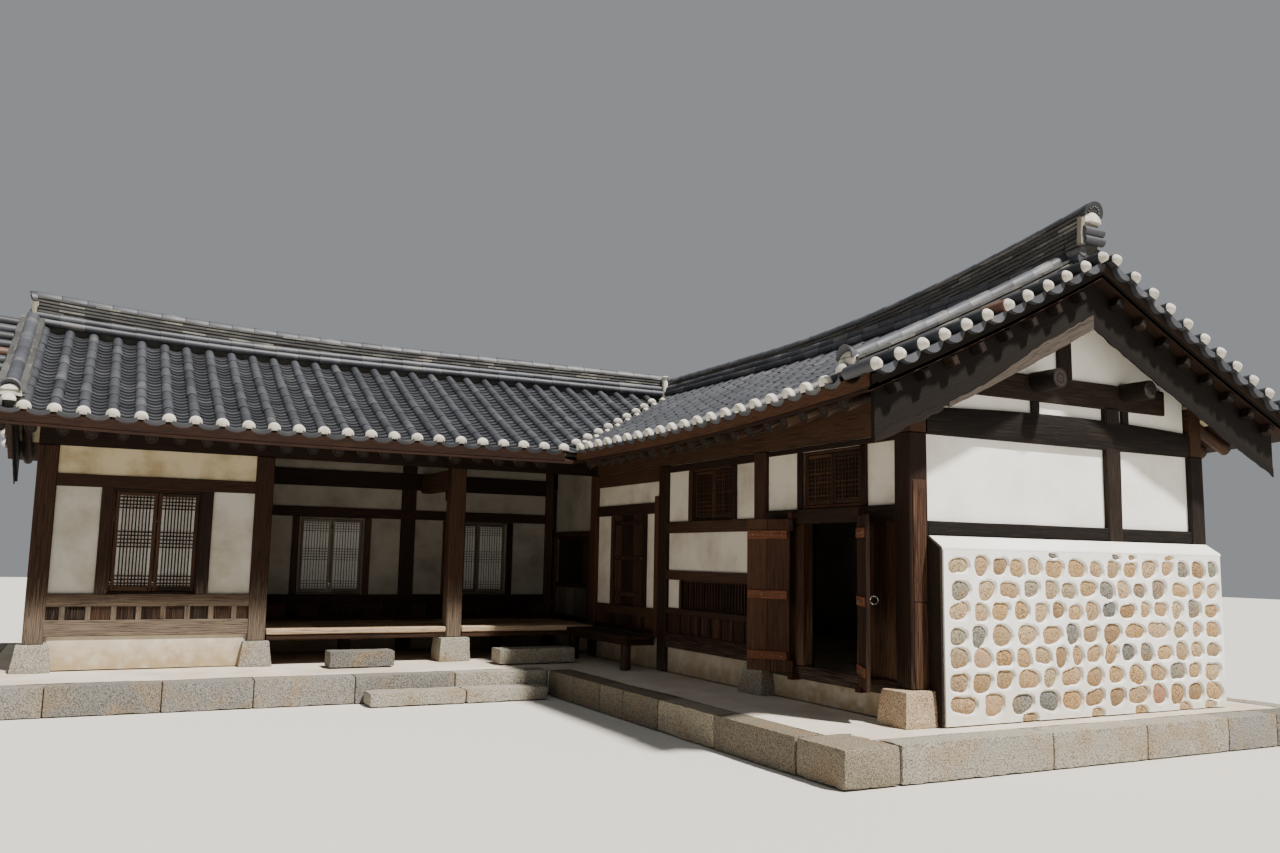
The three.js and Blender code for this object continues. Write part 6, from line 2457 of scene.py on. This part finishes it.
@dataclass
class Roofs:
    """Both wings' roofs: tiles, timbers under them, verges, bargeboards and ridges."""

    def build(self) -> None:
        """Build every roof piece."""
        for slope, node, seed in (
                (FRONT_SLOPE, "roof_left_wing", 11), (BACK_SLOPE, "roof_left_wing", 12),
                (COURT_SLOPE, "roof_right_wing", 13), (RIGHT_SLOPE, "roof_right_wing", 14)):
            RoofTiles(slope, node).build(seed)
        Gutter().build()
        left, right = PieceMesh(21), PieceMesh(22)
        Eaves(FRONT_SLOPE, 0.12, (-7.86, 2.2), (-8.2275, 22), LEFT_VERGE + 0.13, -8.34, 0.26).add_to(left)
        Eaves(BACK_SLOPE, 3.78, (-7.86, 2.2), (-8.2275, 34), LEFT_VERGE + 0.13, -8.34).add_to(left)
        left.build("eaves_left_wing", "timber", "roof_frame_left_wing")
        Eaves(COURT_SLOPE, 0.12, (-7.37, 0.2), (-7.4125, 19), FRONT_VERGE + 0.13, -7.69).add_to(right)
        Eaves(RIGHT_SLOPE, 4.40, (-7.37, 3.9), (-7.4125, 30), FRONT_VERGE + 0.13, -7.69).add_to(right)
        right.build("eaves_right_wing", "timber", "roof_frame_right_wing")
        Verge((FRONT_SLOPE, BACK_SLOPE), LEFT_VERGE + 0.05, LEFT_FALL_X, -8.39).build(
            "verge_left_wing", "roof_left_wing", 23)
        Verge((COURT_SLOPE, RIGHT_SLOPE), FRONT_VERGE, RIGHT_FALL_Y, -7.735).build(
            "verge_right_wing", "roof_right_wing", 24)
        Bargeboard((FRONT_SLOPE, BACK_SLOPE), -8.39).build("bargeboard_left_end", "bargeboards_left_end", 25)
        Bargeboard((COURT_SLOPE, RIGHT_SLOPE), -7.735).build("bargeboard_gable", "bargeboards_gable", 26)
        Ridges().build()


def dress_kept() -> None:
    """Give the frame's own plaster and earth their finishes."""
    # The left bay's, the court's and the recess's plaster take lime darkened for their shade: painted shade.
    for finish, names in ((SHADED_WALL_LIME, ("plaster_left_bay",)),
                          (SHADED_COURT_LIME, ("plaster_court_near_hall", "plaster_court_middle",
                                        "plaster_over_door")),
                          (SHADOW_GREY_LIME, ("plaster_recess", "hall_side_wall_left", "hall_side_wall_right")),
                          (GABLE_LIME, ("plaster_gable",)), (FOOT_LIME, ("base_wall_door_bay",)),
                          (EARTH, ("room_floor",))):
        for name in names:
            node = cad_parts[name]
            node.data.materials.clear()
            node.data.materials.append(finish.material())
            log.info("%s: kept, %s", name, finish.name)


def main() -> None:
    """Build the house, the studio and the camera."""
    logging.basicConfig(level=logging.INFO, format="%(name)s: %(message)s")
    Platform().build()
    LeftBay().build()
    OpenHall().build()
    CourtFront().build()
    DoorLeaf("left", -1.0, (-0.045, -5.45), -153.0, 93).build()
    DoorLeaf("right", 1.0, (-0.045, -6.64), 149.0, 94, ring_out=True).build()
    GableFront().build()
    HiddenWall("back_plaster", "back_wall", Wall(Facing.BACK, 3.9), (-7.84, 4.50), (0.06, 0.18),
               (-7.86, -5.20, -2.60, 0.0, 2.14, 4.28), (-7.62, 4.28),
               ((-7.0, -5.9, "window_back_left"), (-4.4, -3.3, "window_back_right")), 0.362, 77).build()
    HiddenWall("right_side_plaster", "right_side_wall", Wall(Facing.RIGHT, 4.52), (-7.13, 3.66),
               (0.06, 0.18), (-4.82, -2.35, 0.0, 1.9), (-7.13, 3.66),
               ((-3.9, -2.9, "window_right_side"),), 0.362, 86).build()
    LeftEnd().build()
    Roofs().build()
    dress_kept()
    Studio().build()
    PhotoCamera().build()


if __name__ == "__main__":
    main()
